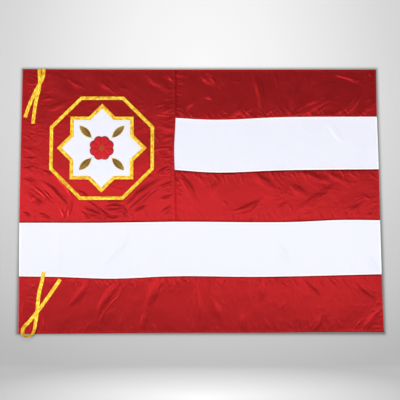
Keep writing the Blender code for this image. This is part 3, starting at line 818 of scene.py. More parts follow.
def build_panel(plan):
    """One panel of cloth, with its hems and seams, its folds, creases, puckers and slow waves."""
    middle_x = (through(plan.left.line, 0) + through(plan.right.line, 0)) / 2
    low = through(plan.bottom.line, middle_x)
    high = through(plan.top.line, middle_x)
    width = through(plan.right.line, (low + high) / 2) - through(plan.left.line, (low + high) / 2)
    cell = CELL[plan.finish]
    share_x, share_y = np.meshgrid(
        stations(plan.left.kind, plan.right.kind, width, cell),
        stations(plan.bottom.kind, plan.top.kind, high - low, cell),
    )
    y = low + (high - low) * share_y
    for _ in range(3):
        left = through(plan.left.line, y) + SEAM_INSET
        right = through(plan.right.line, y) - SEAM_INSET
        x = left + (right - left) * share_x
        bottom = through(plan.bottom.line, x) + SEAM_INSET
        top = through(plan.top.line, x) - SEAM_INSET
        y = bottom + (top - bottom) * share_y
    height, doubled, bright, ditch = cloth(plan, x, y)
    under = lowest_near(height - (DOUBLED - SINGLE) * doubled, UNDER_STEP - 1) - SINGLE
    under = np.maximum(under, LEAST_HEIGHT)
    height = np.maximum(height, under + SINGLE / 2)
    kept = np.ix_(picks(height.shape[0], UNDER_STEP), picks(height.shape[1], UNDER_STEP))
    lower = np.stack([x[kept], y[kept], under[kept]], -1)
    points, faces = closed_sheet(np.stack([x, y, height], -1), lower, step=UNDER_STEP)
    marks = {
        "bright": np.append(bright.ravel(), bright[kept].ravel()),
        "ditch": np.append(ditch.ravel(), ditch[kept].ravel()),
    }
    piece = add_piece(plan.name + "_cloth", points, faces, plan.finish, marks)
    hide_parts(plan.name)


def stitch_row(plan, name, row):
    """Starts and ends of the stitches in one row along one side of a panel."""
    line = getattr(plan, name).line
    upright, inwards, first, last = span(plan, name, through(line, 0))
    runs = np.arange(first + SEAM_ROW.first, last - SEAM_ROW.spare - SEAM_ROW.long, SEAM_ROW.pitch)
    ends = []
    for run in (runs, runs + SEAM_ROW.long):
        beside = through(line, run) + inwards * row
        x, y = (beside, run) if upright else (run, beside)
        height = cloth(plan, x, y)[0]
        ends.append(np.stack([x, y, height], -1))
    return ends


def build_stitches(plan):
    """The sewing thread along every hem and felled seam of a panel."""
    starts = []
    ends = []
    for name in SIDE_NAMES:
        for row in SIDES[getattr(plan, name).kind].rows:
            row_starts, row_ends = stitch_row(plan, name, row)
            starts.append(row_starts)
            ends.append(row_ends)
    points, faces = strands(np.concatenate(starts), np.concatenate(ends), SEAM_THREAD)
    thread = plan.finish.replace("satin", "thread")
    add_piece(plan.name + "_stitches", points, faces, thread)


def around_emblem(radius, degrees):
    turn = np.radians(degrees)
    return EMBLEM + np.stack([np.cos(turn), np.sin(turn)], -1) * np.reshape(radius, (-1, 1))


def frame_outline(across):
    """Corners of the eight-sided frame, measured across its flat sides."""
    half_side = 180 / FRAME_SIDES
    corner = across / 2 / math.cos(math.radians(half_side))
    return around_emblem(corner, half_side * (2 * np.arange(FRAME_SIDES) + 1))


def star_outline(radius):
    """The outline of two crossed squares, tip by tip."""
    half_tip = 180 / STAR_TIPS
    inner = radius * math.cos(math.radians(2 * half_tip)) / math.cos(math.radians(half_tip))
    radii = np.tile([radius, inner], STAR_TIPS)
    return around_emblem(radii, half_tip * np.arange(2 * STAR_TIPS))


def emblem_ground(x, y):
    return cloth(PANELS[0], x, y)[0]


def along_outline(outline, step):
    """Places along a closed outline, at most a step apart."""
    places = []
    for start, end in zip(outline, np.roll(outline, -1, axis=0)):
        count = math.ceil(np.linalg.norm(end - start) / step)
        places += [start + (end - start) * share for share in np.arange(count) / count]
    return np.array(places)


def stitch_runs(legs, row):
    """Starts and ends of the stitches along straight legs, each from one place to another."""
    starts = []
    ends = []
    for start, end in legs:
        length = np.linalg.norm(end - start)
        way = (end - start) / length
        for at in np.arange(row.first, length - row.spare, row.pitch):
            starts.append(start + way * at)
            ends.append(start + way * (at + row.long))
    return np.array(starts), np.array(ends)


def raised(flats, height):
    """Sets of places on the banner's plane, lifted to the height worked out at each."""
    return [np.column_stack([flat, height(*flat.T)]) for flat in flats]


def ribbon_marks(run, shares):
    """How far along a ribbon and how far across it each of its points lies, for its finish."""
    side = np.broadcast_to(shares, run.shape)
    return {"run": np.tile(run.ravel(), 2), "side": np.tile(side.ravel(), 2)}


def build_ribbon_ring(name, node, outer, inner, lift):
    """A ribbon sewn down as a closed ring, with a folded mitre at every corner and a row at each edge."""
    outside = []
    inside = []
    mitre = []
    for side, start in enumerate(outer):
        after = (side + 1) % len(outer)
        length = np.linalg.norm(outer[after] - start)
        steps = math.ceil(length / PATCH_STEP)
        shares = np.append(MITRE_SHARES, np.arange(1, steps) / steps)
        shares = np.unique(np.round(shares, 4))[:, None]
        outside.append(start + (outer[after] - start) * shares)
        inside.append(inner[side] + (inner[after] - inner[side]) * shares)
        mitre.append(np.minimum(shares[:, 0], 1 - shares[:, 0]) * length)
    outside = np.concatenate(outside)
    inside = np.concatenate(inside)
    mitre = np.concatenate(mitre)
    flat = inside[:, None] + (outside - inside)[:, None] * RIBBON_COLUMNS[None, :, None]
    x = flat[..., 0]
    y = flat[..., 1]
    centre = (outside + inside) / 2
    run = np.cumsum(np.linalg.norm(np.diff(centre, axis=0, prepend=outside[:1]), axis=1))
    run = np.repeat(run[:, None], len(RIBBON_COLUMNS), axis=1)
    edge = np.minimum(RIBBON_COLUMNS, 1 - RIBBON_COLUMNS)[None, :] * RIBBON_WIDE
    rows = np.exp(-((edge - RIBBON_ROW * RIBBON_WIDE) / 0.7) ** 2)
    ripple = RIBBON_RIPPLE * soft_noise(run, edge * 0.4, 7.0, 91) * np.exp(-edge / 5.0)
    body = RIBBON_THICK + RIBBON_SWELL * smooth(edge / 4) - RIBBON_DIP * rows + ripple
    body -= RIBBON_EDGE * np.exp(-(edge / 0.4) ** 2)
    body -= MITRE_DIP * np.exp(-(mitre[:, None] / 0.8) ** 2)
    under = emblem_ground(x, y) + lift
    top = np.stack([x, y, under + np.maximum(body, RIBBON_LEAST)], -1)
    points, faces = closed_sheet(top, np.stack([x, y, under], -1), loop=True)
    piece = add_piece(name, points, faces, "gold_ribbon", ribbon_marks(run, RIBBON_COLUMNS), sharp=60)
    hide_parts(node)
    length = np.linalg.norm(centre - np.roll(centre, -1, axis=0), axis=1).sum()

    legs = []
    for share in (RIBBON_ROW, 1 - RIBBON_ROW):
        outline = inner + (outer - inner) * share
        legs += zip(outline, np.roll(outline, -1, axis=0))
    threads = raised(
        stitch_runs(legs, RIBBON_EDGE_ROW),
        lambda x, y: emblem_ground(x, y) + lift + RIBBON_THICK - 0.08,
    )
    points, faces = strands(*threads, RIBBON_THREAD)
    add_piece(name + "_stitches", points, faces, "gold_thread")


def build_patch(node, outline, rings, top_height, under_height, finish):
    """Satin cut to an outline, from the emblem's middle outwards; it fills a share of its square."""
    flat = EMBLEM + (outline[:, None] - EMBLEM) * rings[None, :, None]
    x = flat[..., 0]
    y = flat[..., 1]
    outwards = np.broadcast_to(rings, x.shape)
    top = np.stack([x, y, top_height(x, y, outwards)], -1)
    points, faces = closed_sheet(top, np.stack([x, y, under_height(x, y)], -1), loop=True)
    marks = {"bright": np.zeros(len(points)), "ditch": np.zeros(len(points))}
    piece = add_piece(node + "_cloth", points, faces, finish, marks, weld=True)
    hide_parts(node)


def build_star():
    """The white patch inside the star's ribbon edging, tucked a little way under it."""
    radius = STAR_RADIUS + STAR_UNDER_EDGING
    outline = along_outline(star_outline(radius), PATCH_STEP)
    rings = np.linspace(0, 1, 34) ** 0.8

    def top_height(x, y, outwards):
        puff = 0.25 * smooth((1 - outwards) * 9) + 0.18 * soft_noise(x, y, 33.0, 61)
        return emblem_ground(x, y) + SEWN_GAP + SINGLE + puff * smooth((1 - outwards) * 14)

    def under_height(x, y):
        return emblem_ground(x, y) + SEWN_GAP

    build_patch(
        "star_patch", outline, rings, top_height, under_height, "white_satin"
    )


def rosette_radius(degrees):
    """Round petals side by side, with a notch between each two."""
    petal = np.mod(degrees * ROSETTE_PETALS / 360, 1)
    return ROSETTE_RADIUS - ROSETTE_NOTCH * (1 - np.sin(math.pi * petal))


def rosette_height(x, y):
    """The rosette's padded petals: each swells between its notches."""
    away = np.stack([x - EMBLEM[0], y - EMBLEM[1]], -1)
    radius = np.linalg.norm(away, axis=-1)
    degrees = np.degrees(np.arctan2(away[..., 1], away[..., 0]))
    petal = np.abs(np.sin(math.pi * np.mod(degrees * ROSETTE_PETALS / 360, 1)))
    share = radius / rosette_radius(degrees)
    swell = np.sqrt(np.clip(1 - share ** 4, 0, 1))
    groove = 1 - 0.55 * (1 - petal) ** 3 * smooth((radius - 7) / 8)
    return ROSETTE_SWELL * swell * groove


def build_rosette():
    """A red satin rosette with padded petals, a corded rim and a knotted middle."""
    degrees = np.arange(0, 360, 2.0)
    outline = around_emblem(rosette_radius(degrees), degrees)
    rings = np.concatenate([np.linspace(0, 0.9, 16), [0.94, 0.97, 0.99, 1.0]])
    base = CLOTH_TOP + SEWN_GAP + SINGLE + ROSETTE_BASE

    def petals(x, y):
        return base + ROSETTE_THICK + rosette_height(x, y)

    build_patch(
        "rosette", outline, rings, lambda x, y, outwards: petals(x, y), lambda x, y: np.full_like(x, base),
        "rosette_satin",
    )
    rim_degrees = np.arange(0, 360, 0.9)
    radius = rosette_radius(rim_degrees)
    inside = around_emblem(radius - 2.6, rim_degrees - 0.6)
    outside = around_emblem(radius + 0.7, rim_degrees + 0.6)
    starts = np.column_stack([inside, base + 0.2 + rosette_height(inside[:, 0], inside[:, 1])])
    ends = np.column_stack([outside, np.full(len(outside), base - 0.25)])
    rim = strands(starts, ends, RIM_THREAD)
    turns = 360 * np.arange(ROSETTE_PETALS) / ROSETTE_PETALS
    legs = [around_emblem(VEIN_ENDS, np.full(2, turn)) for turn in turns]
    veins = strands(*raised(stitch_runs(legs, VEIN_ROW), petals), VEIN_THREAD)
    points, faces = join_shapes([rim, veins])
    add_piece("rosette_stitching", points, faces, "dark_red_thread")
    build_knots(petals)


def build_knots(height):
    """Small wrapped knots in a spiral at the rosette's middle, gold among brown."""
    spots = np.arange(KNOTS)
    turns = spots * (math.pi * (3 - math.sqrt(5)))
    radius = KNOT_SPREAD * np.sqrt(spots + 0.4)
    middle = EMBLEM + np.stack([np.cos(turns), np.sin(turns)], -1) * radius[:, None]
    foot = height(middle[:, 0], middle[:, 1]) - 0.1
    wraps = []
    for lean in (0.5, 2.6):
        way = np.stack([np.cos(turns + lean), np.sin(turns + lean)], -1) * 1.15
        starts = np.column_stack([middle - way, foot])
        ends = np.column_stack([middle + way, foot])
        wraps.append(strands(starts, ends, KNOT_THREAD))
    points, faces = join_shapes(wraps)
    shades = np.where(spots % 3 == 0, 0.9, 0.12 + 0.1 * (spots % 2))
    marks = {"shade": np.tile(np.repeat(shades, len(wraps[0][0]) // KNOTS), len(wraps))}
    add_piece("rosette_knots", points, faces, "embroidery", marks)


def leaf_half_width(at):
    """Half the leaf's width, from 0 at its foot to 0 at its tip."""
    share = np.clip(at / LEAF_LONG, 0, 1)
    return LEAF_WIDE / 2 * np.sin(math.pi * share) ** LEAF_ROUNDNESS


def build_leaf(number, degrees):
    """A leaf in fishbone stitch over its padding, with an outline of gold split stitches."""
    rng = np.random.default_rng(300 + number)
    turn = math.radians(degrees)
    spin = np.array([[math.cos(turn), -math.sin(turn)], [math.sin(turn), math.cos(turn)]])
    ground = CLOTH_TOP + SEWN_GAP + SINGLE + EMBROIDERY_BASE

    def place(along, aside, height):
        flat = EMBLEM + np.stack([LEAF_FROM + along, aside], -1) @ spin.T
        return np.column_stack([flat, height])

    def crown(along, aside):
        half = np.maximum(leaf_half_width(along), 0.6)
        swell = np.sqrt(np.clip(1 - (aside / half) ** 2, 0, 1)) * np.clip(half / 6, 0, 1)
        return ground + 0.15 + LEAF_SWELL * swell

    steps = np.arange(0.8, LEAF_LONG - 1.0, LEAF_THREADS)
    starts = []
    ends = []
    shades = []
    for hand in (1, -1):
        at = steps + (LEAF_THREADS / 2 if hand > 0 else 0)
        edge_at = np.clip(at + 1.0, 0, LEAF_LONG - 0.4)
        edge = hand * leaf_half_width(edge_at)
        inner_at = np.clip(at + 6.5 * np.abs(edge) / (LEAF_WIDE / 2), 0, LEAF_LONG)
        inner = -hand * 0.35 * np.ones_like(at)
        starts.append(place(edge_at, edge, np.full_like(at, ground - 0.1)))
        ends.append(place(inner_at, inner, crown(inner_at, inner) - 0.25))
        shades.append(0.28 + 0.2 * rng.random(len(at)) - 0.1 * (hand < 0) + 0.22 * at / LEAF_LONG)
    threads = strands(np.concatenate(starts), np.concatenate(ends), LEAF_THREAD)
    shades = np.concatenate(shades)

    rim_at = np.linspace(0, LEAF_LONG, 29)
    near, far = [np.column_stack([rim_at, hand * (leaf_half_width(rim_at) + 0.25)]) for hand in (1, -1)]
    rim_starts = np.concatenate([near[:-1], far[:0:-1]])
    rim_ends = np.concatenate([near[1:], far[-2::-1]])
    overlap = 0.22 * (rim_ends - rim_starts)
    rim = [
        place(*spots.T, np.full(len(spots), ground + 0.1))
        for spots in (rim_starts - overlap, rim_ends + overlap)
    ]
    outline = strands(*rim, OUTLINE_THREAD)

    stem_at = np.arange(-7.0, LEAF_LONG - 4, 3.0)
    middle = 0 * stem_at
    stem_height = np.where(stem_at < 0, ground, crown(np.maximum(stem_at, 0), middle)) + 0.1
    stem_end = crown(np.maximum(stem_at + 3.4, 0), middle) + 0.1
    stem_ends = place(stem_at + 3.4, middle, stem_end)
    stem = strands(place(stem_at, middle, stem_height), stem_ends, STEM_THREAD)

    pad_at = np.linspace(0.3, LEAF_LONG - 0.3, 30)
    pad_share = np.array([-1, -0.9, -0.6, -0.3, 0, 0.3, 0.6, 0.9, 1.0])
    aside = -pad_share[None, :] * 0.96 * leaf_half_width(pad_at)[:, None]
    along = np.broadcast_to(pad_at[:, None], aside.shape)
    top = place(along.ravel(), aside.ravel(), crown(along, aside).ravel() - 0.3).reshape(*aside.shape, 3)
    bottom = top.copy()
    bottom[..., 2] = ground - 0.3
    top[..., 2] = np.maximum(top[..., 2], ground - 0.2)
    pad = closed_sheet(top, bottom)

    points, faces = join_shapes([threads, outline, stem, pad])
    thread_shade = np.repeat(shades, len(threads[0]) // len(shades))
    plain = [np.full(len(shape[0]), shade) for shape, shade in ((outline, 1.0), (stem, 0.8), (pad, 0.22))]
    marks = {"shade": np.concatenate([thread_shade, *plain])}
    piece = add_piece(f"leaf_{number}_embroidery", points, faces, "embroidery", marks, sharp=70)
    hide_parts(f"leaf_{number}")


def build_emblem():
    corner = math.sqrt(2)
    tip = STAR_RADIUS + EMBLEM_GAP * corner
    build_ribbon_ring(
        "frame_ribbon", "emblem_frame_ribbon", frame_outline(FRAME_ACROSS),
        frame_outline(FRAME_ACROSS - 2 * RIBBON_WIDE), SEWN_GAP,
    )
    build_star()
    build_ribbon_ring(
        "star_ribbon", "star_edging_ribbon", star_outline(tip + RIBBON_WIDE * corner), star_outline(tip),
        SEWN_GAP + SINGLE,
    )
    build_rosette()
    for leaf in range(LEAVES):
        build_leaf(leaf + 1, FIRST_LEAF + 360 * leaf / LEAVES)


def tie_stations(stops):
    """Points and leans along a tie's route: smooth as seen from above, with even rises."""
    places = np.array([[stop.x, stop.y, stop.z] for stop in stops])
    lengths = np.concatenate([[0], np.cumsum(np.linalg.norm(np.diff(places, axis=0), axis=1))])
    spots = cut(lengths, TIE_STEP, 2)
    x = through([Place(at, stop.x) for at, stop in zip(lengths, stops)], spots)
    y = through([Place(at, stop.y) for at, stop in zip(lengths, stops)], spots)
    z = np.interp(spots, lengths, places[:, 2])
    leans = np.interp(spots, lengths, [stop.lean for stop in stops])
    return np.column_stack([x, y, z]), leans, spots


def over_cloth(points):
    """How far a tie's points are let down onto the finer cloth: only where they lie on top of it."""
    x = points[:, 0]
    y = points[:, 1]
    inside = np.minimum(y - through(BOTTOM_EDGE, x), through(TOP_EDGE, x) - y)
    on_top = smooth((inside - 1) / 9) * (points[:, 2] > 1.3)
    reach = 0.42 * RIBBON_WIDE
    around = ((0, 0), (reach, 0), (-reach, 0), (0, reach), (0, -reach))
    fine = np.max([ground(x + right, y + up) for right, up in around], axis=0)
    return on_top * (fine - CLOTH_TOP - tie_lift(x, y) - TIE_SINK)


def build_tie(node, stops, plan):
    """A gold ribbon along its route, level across wherever the route isn't steep, but for its lean."""
    points, leans, spots = tie_stations(stops)
    points[:, 2] += over_cloth(points)
    runs = np.diff(points, axis=0)
    runs /= np.linalg.norm(runs, axis=1, keepdims=True)
    ways = np.concatenate([runs[:1], runs[:-1] + runs[1:], runs[-1:]])
    ways /= np.linalg.norm(ways, axis=1, keepdims=True)
    left = Vector(np.cross(UP, ways[0])).normalized()
    before = Vector(ways[0])
    sides = []
    for way, lean in zip(ways, leans):
        now = Vector(way)
        left = before.rotation_difference(now) @ left
        level = Vector(UP).cross(now)
        if level.length > LEVEL_RUN:
            left = level.normalized() * math.copysign(1, level.dot(left))
        sides.append(Matrix.Rotation(math.radians(lean), 3, now) @ left)
        before = now
    sides = np.array([list(side) for side in sides])
    normals = np.cross(ways, sides)
    shares = np.linspace(0.5, -0.5, TIE_COLUMNS)
    cup = 0.14 * (4 * shares ** 2) * soft_noise(spots, 0 * spots, 21.0, 83)[:, None]
    cup += 0.12 * (2 * shares)[None, :] * soft_noise(spots, 0 * spots + 50, 17.0, 84)[:, None]
    middle = points[:, None] + sides[:, None] * (RIBBON_WIDE * shares)[None, :, None]
    middle = middle + normals[:, None] * cup[..., None]
    thin = RIBBON_THICK / 2 * (1 - 0.45 * smooth((np.abs(shares) - 0.35) / 0.15))
    top = middle + normals[:, None] * thin[None, :, None]
    bottom = middle - normals[:, None] * thin[None, :, None]
    sheet_points, faces = closed_sheet(top, bottom)
    sheet_points[:, 2] = np.maximum(sheet_points[:, 2], LEAST_HEIGHT)
    marks = ribbon_marks(np.repeat(spots[:, None], TIE_COLUMNS, axis=1), shares + 0.5)
    piece = add_piece(node + "_ribbon", sheet_points, faces, "gold_ribbon", marks, sharp=60)
    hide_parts(node)


def build_tack(name, middle, plan, lift):
    """A small sewn square with its diagonals, which holds a tie's middle to the cloth."""
    wide = TACK_WIDE / 2
    high = TACK_HIGH / 2
    corners = middle + np.array([[-wide, -high], [wide, -high], [wide, high], [-wide, high]])
    legs = [(corners[k], corners[(k + 1) % 4]) for k in range(4)]
    legs += [(corners[0], corners[2]), (corners[1], corners[3])]
    threads = raised(stitch_runs(legs, TACK_ROW), lambda x, y: cloth(plan, x, y)[0] + lift)
    points, faces = strands(*threads, TACK_THREAD)
    add_piece(name, points, faces, "red_thread")


def operator(operation, swapped=False):
    """What one of a Value's operators does; a swapped one has the value itself second."""
    if swapped:
        return lambda value, other: value.maths(operation, other, value)
    return lambda value, other: value.maths(operation, value, other)


class Value:
    """A number that varies over a surface; Python's operators on it add Math nodes to its finish."""

    def __init__(self, finish, socket):
        self.finish = finish
        self.socket = socket

    def maths(self, operation, first, second=0.0):
        return self.finish.add("ShaderNodeMath", {"operation": operation}, {0: first, 1: second})

    def exponent(self):
        return self.maths("EXPONENT", self)

    __add__ = operator("ADD")
    __radd__ = operator("ADD", swapped=True)
    __sub__ = operator("SUBTRACT")
    __rsub__ = operator("SUBTRACT", swapped=True)
    __mul__ = operator("MULTIPLY")
    __rmul__ = operator("MULTIPLY", swapped=True)
    __pow__ = operator("POWER")
    most = operator("MAXIMUM")


class Finish:
    """A material with one Principled shader, whose other nodes are added one at a time."""

    def __init__(self, name):
        self.material = bpy.data.materials.new(name)
        self.material.use_nodes = True
        self.tree = self.material.node_tree
        self.shader = self.tree.nodes["Principled BSDF"]

    def feed(self, node, sockets):
        for name, value in sockets.items():
            if isinstance(value, Value):
                self.tree.links.new(value.socket, node.inputs[name])
            else:
                node.inputs[name].default_value = value

    def add(self, kind, settings, sockets, output=0):
        node = self.tree.nodes.new(kind)
        for name, value in settings.items():
            if name == "stops":
                ramp = node.color_ramp
                while len(ramp.elements) < len(value):
                    ramp.elements.new(1.0)
                for element, (position, colour) in zip(ramp.elements, value):
                    element.position = position
                    element.color = colour
            else:
                setattr(node, name, value)
        self.feed(node, sockets)
        return Value(self, node.outputs[output])

    def mix(self, share, one, other):
        sockets = {0: share, 6: one, 7: other}
        return self.add("ShaderNodeMix", {"data_type": "RGBA"}, sockets, output=2)

    def places(self, scale=(1.0, 1.0, 1.0), turn=0.0):
        """Places on the object, stretched and turned about the upright."""
        spot = self.add("ShaderNodeTexCoord", {}, {}, output=3)
        sockets = {"Vector": spot, "Scale": scale, "Rotation": (0.0, 0.0, turn)}
        return self.add("ShaderNodeMapping", {}, sockets)

    def noise(self, vector, scale, detail=2.0, roughness=0.5):
        sockets = {"Vector": vector, "Scale": scale, "Detail": detail, "Roughness": roughness}
        return self.add("ShaderNodeTexNoise", {}, sockets)

    def mark(self, name):
        return self.add("ShaderNodeAttribute", {"attribute_name": name}, {}, output=2)

    def bump(self, height, strength, distance):
        return self.add(
            "ShaderNodeBump", {}, {"Height": height, "Strength": strength, "Distance": distance}
        )

    def surface(self, **sockets):
        self.feed(self.shader, {name.replace("_", " "): value for name, value in sockets.items()})
        return self.material


def colour(red, green, blue):
    return (red, green, blue, 1.0)


def satin(name, light, dark, edge, ditch, metallic, roughness, weave, gleam, tint):
    """Satin: a close sheen of its own colour over long floats, with faint streaks of weave and wear, an edge
    painted lighter, partly as a painted highlight, and painted shade along some seams and ribbons.
    """
    finish = Finish(name)
    cloudy = finish.noise(finish.places((14.0, 14.0, 14.0)), 1.0, 3.0)
    streaks = finish.noise(finish.places((30.0, 900.0, 30.0)), 1.0, 2.0)
    floats = finish.noise(finish.places((2600.0, 420.0, 1.0)), 1.0, 1.0)
    wefts = finish.noise(finish.places((300.0, 2400.0, 1.0)), 1.0, 1.0)
    tone = finish.mix(cloudy * 0.7 + streaks * 0.3, dark, light)
    # Along hems and seams the edge colour is mixed in: partly the doubled cloth's own tone, partly a painted
    # highlight. Then painted shade is mixed in along tucked and plain seams and beside the emblem's ribbons.
    tone = finish.mix(finish.mark("bright"), tone, edge)
    tone = finish.mix(finish.mark("ditch") * PAINTED_SHADE_SHARE, tone, ditch)
    rough = roughness + (cloudy - 0.5) * 0.08 + (streaks - 0.5) * 0.05
    grain = floats * 0.65 + wefts * 0.35
    return finish.surface(
        Base_Color=tone,
        Roughness=rough,
        Metallic=metallic,
        Normal=finish.bump(grain, 0.35, weave),
        Specular_IOR_Level=gleam,
        Specular_Tint=tint,
    )


def ribbon_finish():
    """Gold satin ribbon: fine cross ribs, a darker edge, and soft lengthwise streaks that are a painted
    highlight and painted shade.
    """
    finish = Finish("gold_sheen")
    run = finish.mark("run")
    side = finish.mark("side")
    ribs = finish.add("ShaderNodeMath", {"operation": "SINE"}, {0: run * 12.0})
    spots = finish.add("ShaderNodeCombineXYZ", {}, {"X": run * 0.08, "Y": side * 2.3})
    rumple_and_sheen = finish.noise(spots, 1.0, 2.0, 0.6)
    threads = finish.noise(finish.places((1500.0, 1500.0, 1.0)), 1.0, 1.0)
    edge = finish.add("ShaderNodeMath", {"operation": "ABSOLUTE"}, {0: side - 0.5})
    darker_edge = finish.add("ShaderNodeMath", {"operation": "GREATER_THAN"}, {0: edge, 1: 0.43})
    # Lighter and darker gold along the ribbon with its rumples: a painted highlight and painted shade.
    gold = finish.mix((rumple_and_sheen - 0.5) * 5.2 + 0.5, colour(0.78, 0.33, 0.005), colour(1.0, 0.79, 0.070))
    # Darker along both edges.
    gold = finish.mix(darker_edge * 0.45, gold, colour(0.66, 0.27, 0.008))
    return finish.surface(
        Base_Color=gold,
        Roughness=0.36 + (threads - 0.5) * 0.16,
        Metallic=0.35,
        Normal=finish.bump(ribs * 0.4 + threads * 0.6 + rumple_and_sheen * 3.0, 0.6, 0.0002),
        Specular_IOR_Level=0.2,
    )


def thread_finish(name, dark, light):
    """Twisted thread: a fine slanting twist with lighter and darker turns."""
    finish = Finish(name)
    twist = finish.noise(finish.places((2500.0, 2500.0, 800.0), 0.6), 1.0, 1.0)
    return finish.surface(
        Base_Color=finish.mix(twist, dark, light),
        Roughness=0.45,
        Metallic=0.1,
        Normal=finish.bump(twist, 0.5, 0.0001),
    )


def embroidery_finish():
    """Embroidery silk from deep brown through old gold to yellow, by each strand's own shade."""
    finish = Finish("embroidery_silk")
    twist = finish.noise(finish.places((1600.0, 1600.0, 600.0), 0.8), 1.0, 1.0)
    stops = (
        (0.0, colour(0.035, 0.014, 0.004)),
        (0.35, colour(0.16, 0.085, 0.014)),
        (0.65, colour(0.42, 0.24, 0.03)),
        (1.0, colour(0.95, 0.62, 0.06)),
    )
    shade = finish.mark("shade") + (twist - 0.5) * 0.16
    silk = finish.add("ShaderNodeValToRGB", {"stops": stops}, {"Fac": shade})
    return finish.surface(
        Base_Color=silk, Roughness=0.4, Metallic=0.15, Normal=finish.bump(twist, 0.4, 0.0001)
    )


def grey_ramp(finish, share, *stops):
    """A grey that follows a share; its stops are places and greys."""
    stops = [(place, colour(grey, grey, grey)) for place, grey in stops]
    return finish.add("ShaderNodeValToRGB", {"stops": stops}, {"Fac": share})


# The floor's painted glow and painted shadow, in metres: where the painted glow behind the banner's top has
# its middle, where the painted glow past the foot lies and from where it takes over, and how wide and how
# deep the painted shadow is.
GLOW_Y = 0.36
FOOT_GLOW_Y = -0.66
FOOT_FROM_Y = -0.545
SHADE_WIDE = 0.0072
SHADE_DEEP = 0.66


def floor_finish():
    """A pale backdrop with painted light and shade: a painted glow behind the banner's top, a second
    painted glow past its foot, and a painted shadow around the banner.
    """
    finish = Finish("floor")
    split = finish.add("ShaderNodeSeparateXYZ", {}, {"Vector": finish.places()})
    x = split - SHIFT[0] * MM
    y = Value(finish, split.socket.node.outputs[1]) - SHIFT[1] * MM
    # Painted glow behind the banner's top; past the foot a second painted glow takes over.
    glow = (x ** 2 + ((y - GLOW_Y) * 0.6).most((GLOW_Y - y) * 1.25) ** 2) ** 0.5
    painted_wall_glow = grey_ramp(
        finish, glow * 0.8, (0.0, 0.925), (0.21, 0.86), (0.38, 0.76), (0.51, 0.67), (0.67, 0.61),
        (0.8, 0.57), (1.0, 0.47),
    )
    second = ((x * 0.15) ** 2 + (y - FOOT_GLOW_Y) ** 2) ** 0.5
    foot = grey_ramp(finish, second, (0.0, 1.0), (0.06, 0.75), (0.12, 0.5))
    tone = finish.mix(((FOOT_FROM_Y - y) * 60).most(0.0), painted_wall_glow, foot)
    # Painted shadow around the banner's outline.
    right = x - (0.597 - y * 0.0102)
    beside = right.most(-0.605 - x).most(0.0)
    above = (y - 0.441).most(-0.4445 - y).most(0.0)
    away = (beside ** 2 + above ** 2) * (1 / SHADE_WIDE ** 2)
    shade = (away * -1.0).exponent() * SHADE_DEEP
    tone = finish.mix(shade, tone, colour(0.03, 0.04, 0.04))
    return finish.surface(Base_Color=tone, Roughness=0.9, Specular_IOR_Level=0.0)


WHITE = colour(1.0, 1.0, 1.0)
# Each satin's edge colour is partly the doubled cloth's own tone and partly a painted highlight; the colour
# after it is painted shade.
SATINS = {
    "red_satin": dict(
        name="red_sheen", light=colour(0.43, 0.0160, 0.0175), dark=colour(0.38, 0.0140, 0.0150),
        edge=colour(0.46, 0.0110, 0.0120), ditch=colour(0.24, 0.0010, 0.0015),
        metallic=0.8, roughness=0.34, weave=0.00012, gleam=0.22, tint=colour(0.4, 0.25, 0.6),
    ),
    "rosette_satin": dict(
        name="rosette_sheen", light=colour(0.62, 0.020, 0.024), dark=colour(0.50, 0.012, 0.016),
        edge=colour(0.5, 0.014, 0.02), ditch=colour(0.3, 0.007, 0.01),
        metallic=0.45, roughness=0.38, weave=0.00012, gleam=0.15, tint=WHITE,
    ),
    "white_satin": dict(
        name="white_sheen", light=colour(0.866, 0.876, 0.970), dark=colour(0.822, 0.832, 0.927),
        edge=colour(0.99, 0.99, 1.0), ditch=colour(0.75, 0.76, 0.86),
        metallic=0.0, roughness=0.32, weave=0.00010, gleam=0.65, tint=WHITE,
    ),
}
THREADS = {
    "gold_thread": (colour(0.75, 0.36, 0.02), colour(1.0, 0.68, 0.10)),
    "red_thread": (colour(0.30, 0.008, 0.012), colour(0.52, 0.02, 0.03)),
    "dark_red_thread": (colour(0.16, 0.004, 0.006), colour(0.34, 0.010, 0.014)),
    "white_thread": (colour(0.78, 0.79, 0.84), colour(0.95, 0.95, 0.99)),
}


def make_finishes():
    finishes = {name: satin(**looks) for name, looks in SATINS.items()}
    finishes["gold_ribbon"] = ribbon_finish()
    finishes["embroidery"] = embroidery_finish()
    for name, (dark, light) in THREADS.items():
        finishes[name] = thread_finish(name, dark, light)
    return finishes


CAMERA_TARGET = Vector((-4.5, -4.0, 0.0))
CAMERA_AWAY = 3.0
CAMERA_RISE = 84.0
CAMERA_LENS = 80.73
SENSOR = 36.0


def build_camera():
    data = bpy.data.cameras.new("camera")
    data.lens = CAMERA_LENS
    data.sensor_width = SENSOR
    camera = bpy.data.objects.new("camera", data)
    rise = math.radians(CAMERA_RISE)
    target = Vector(world(CAMERA_TARGET))
    camera.location = target + Vector((0, -math.cos(rise), math.sin(rise))) * CAMERA_AWAY
    camera.rotation_euler = (math.radians(90 - CAMERA_RISE), 0, 0)
    bpy.context.scene.collection.objects.link(camera)
    bpy.context.scene.camera = camera


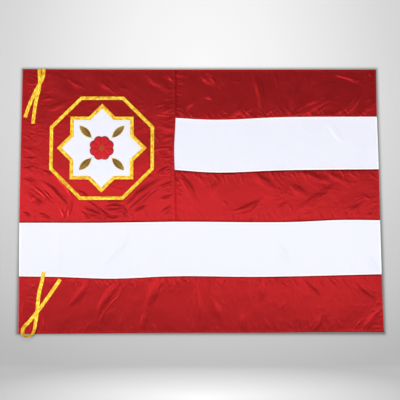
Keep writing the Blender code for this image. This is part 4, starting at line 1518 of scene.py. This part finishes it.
def area_light(name, place, aim, size, power, roll=0.0):
    """A soft light at one place, aimed at another and rolled about its own axis."""
    data = bpy.data.lights.new(name, "AREA")
    data.shape = "RECTANGLE"
    data.size, data.size_y = size
    data.energy = power
    light = bpy.data.objects.new(name, data)
    light.location = place
    aimed = (Vector(aim) - Vector(place)).to_track_quat("-Z", "Y")
    light.rotation_euler = (aimed.to_matrix() @ Matrix.Rotation(math.radians(roll), 3, "Z")).to_euler()
    light.visible_camera = False
    bpy.context.scene.collection.objects.link(light)


def build_studio():
    bpy.ops.mesh.primitive_plane_add(size=14, location=(0, 0, -0.0002))
    floor = bpy.context.object
    floor.name = "floor"
    floor.data.materials.append(floor_finish())
    studio = bpy.data.worlds.new("studio")
    studio.use_nodes = True
    sky = studio.node_tree.nodes["Background"].inputs
    sky["Color"].default_value = WHITE
    sky["Strength"].default_value = 0.1
    bpy.context.scene.world = studio
    area_light(
        "key", (-0.15, 0.15, 3.2), (-0.15, 0.15, 0), size=(3.7, 0.35), power=26.8, roll=-7.2
    )
    for side in range(4):
        turn = math.radians(90 * side)
        place = (2.7 * math.cos(turn), 2.7 * math.sin(turn), 2.2)
        area_light(f"side_{side + 1}", place, (0, 0, 0), size=(2.2, 1.2), power=29)
    sun = bpy.data.lights.new("window", "SUN")
    sun.energy = 0.62
    sun.angle = math.radians(22)
    window = bpy.data.objects.new("window", sun)
    towards = Vector((-1.0, -0.25, 1.45))
    window.rotation_euler = towards.to_track_quat("Z", "Y").to_euler()
    bpy.context.scene.collection.objects.link(window)
    bpy.context.scene.view_settings.view_transform = "Standard"


FLANKS = flank_lines(FOLDS)
GATHERS = {plan.name: seam_gathers(plan, 500 + number) for number, plan in enumerate(PANELS)}

build_camera()
FINISHES = make_finishes()
for plan in PANELS:
    build_panel(plan)
    build_stitches(plan)
build_emblem()
build_tie("upper_tie", UPPER_TIE, PANELS[0])
build_tie("lower_tie", LOWER_TIE, PANELS[5])
build_tack("upper_tie_tack", np.array([-542.0, 424.5]), PANELS[0], 0.02)
build_studio()
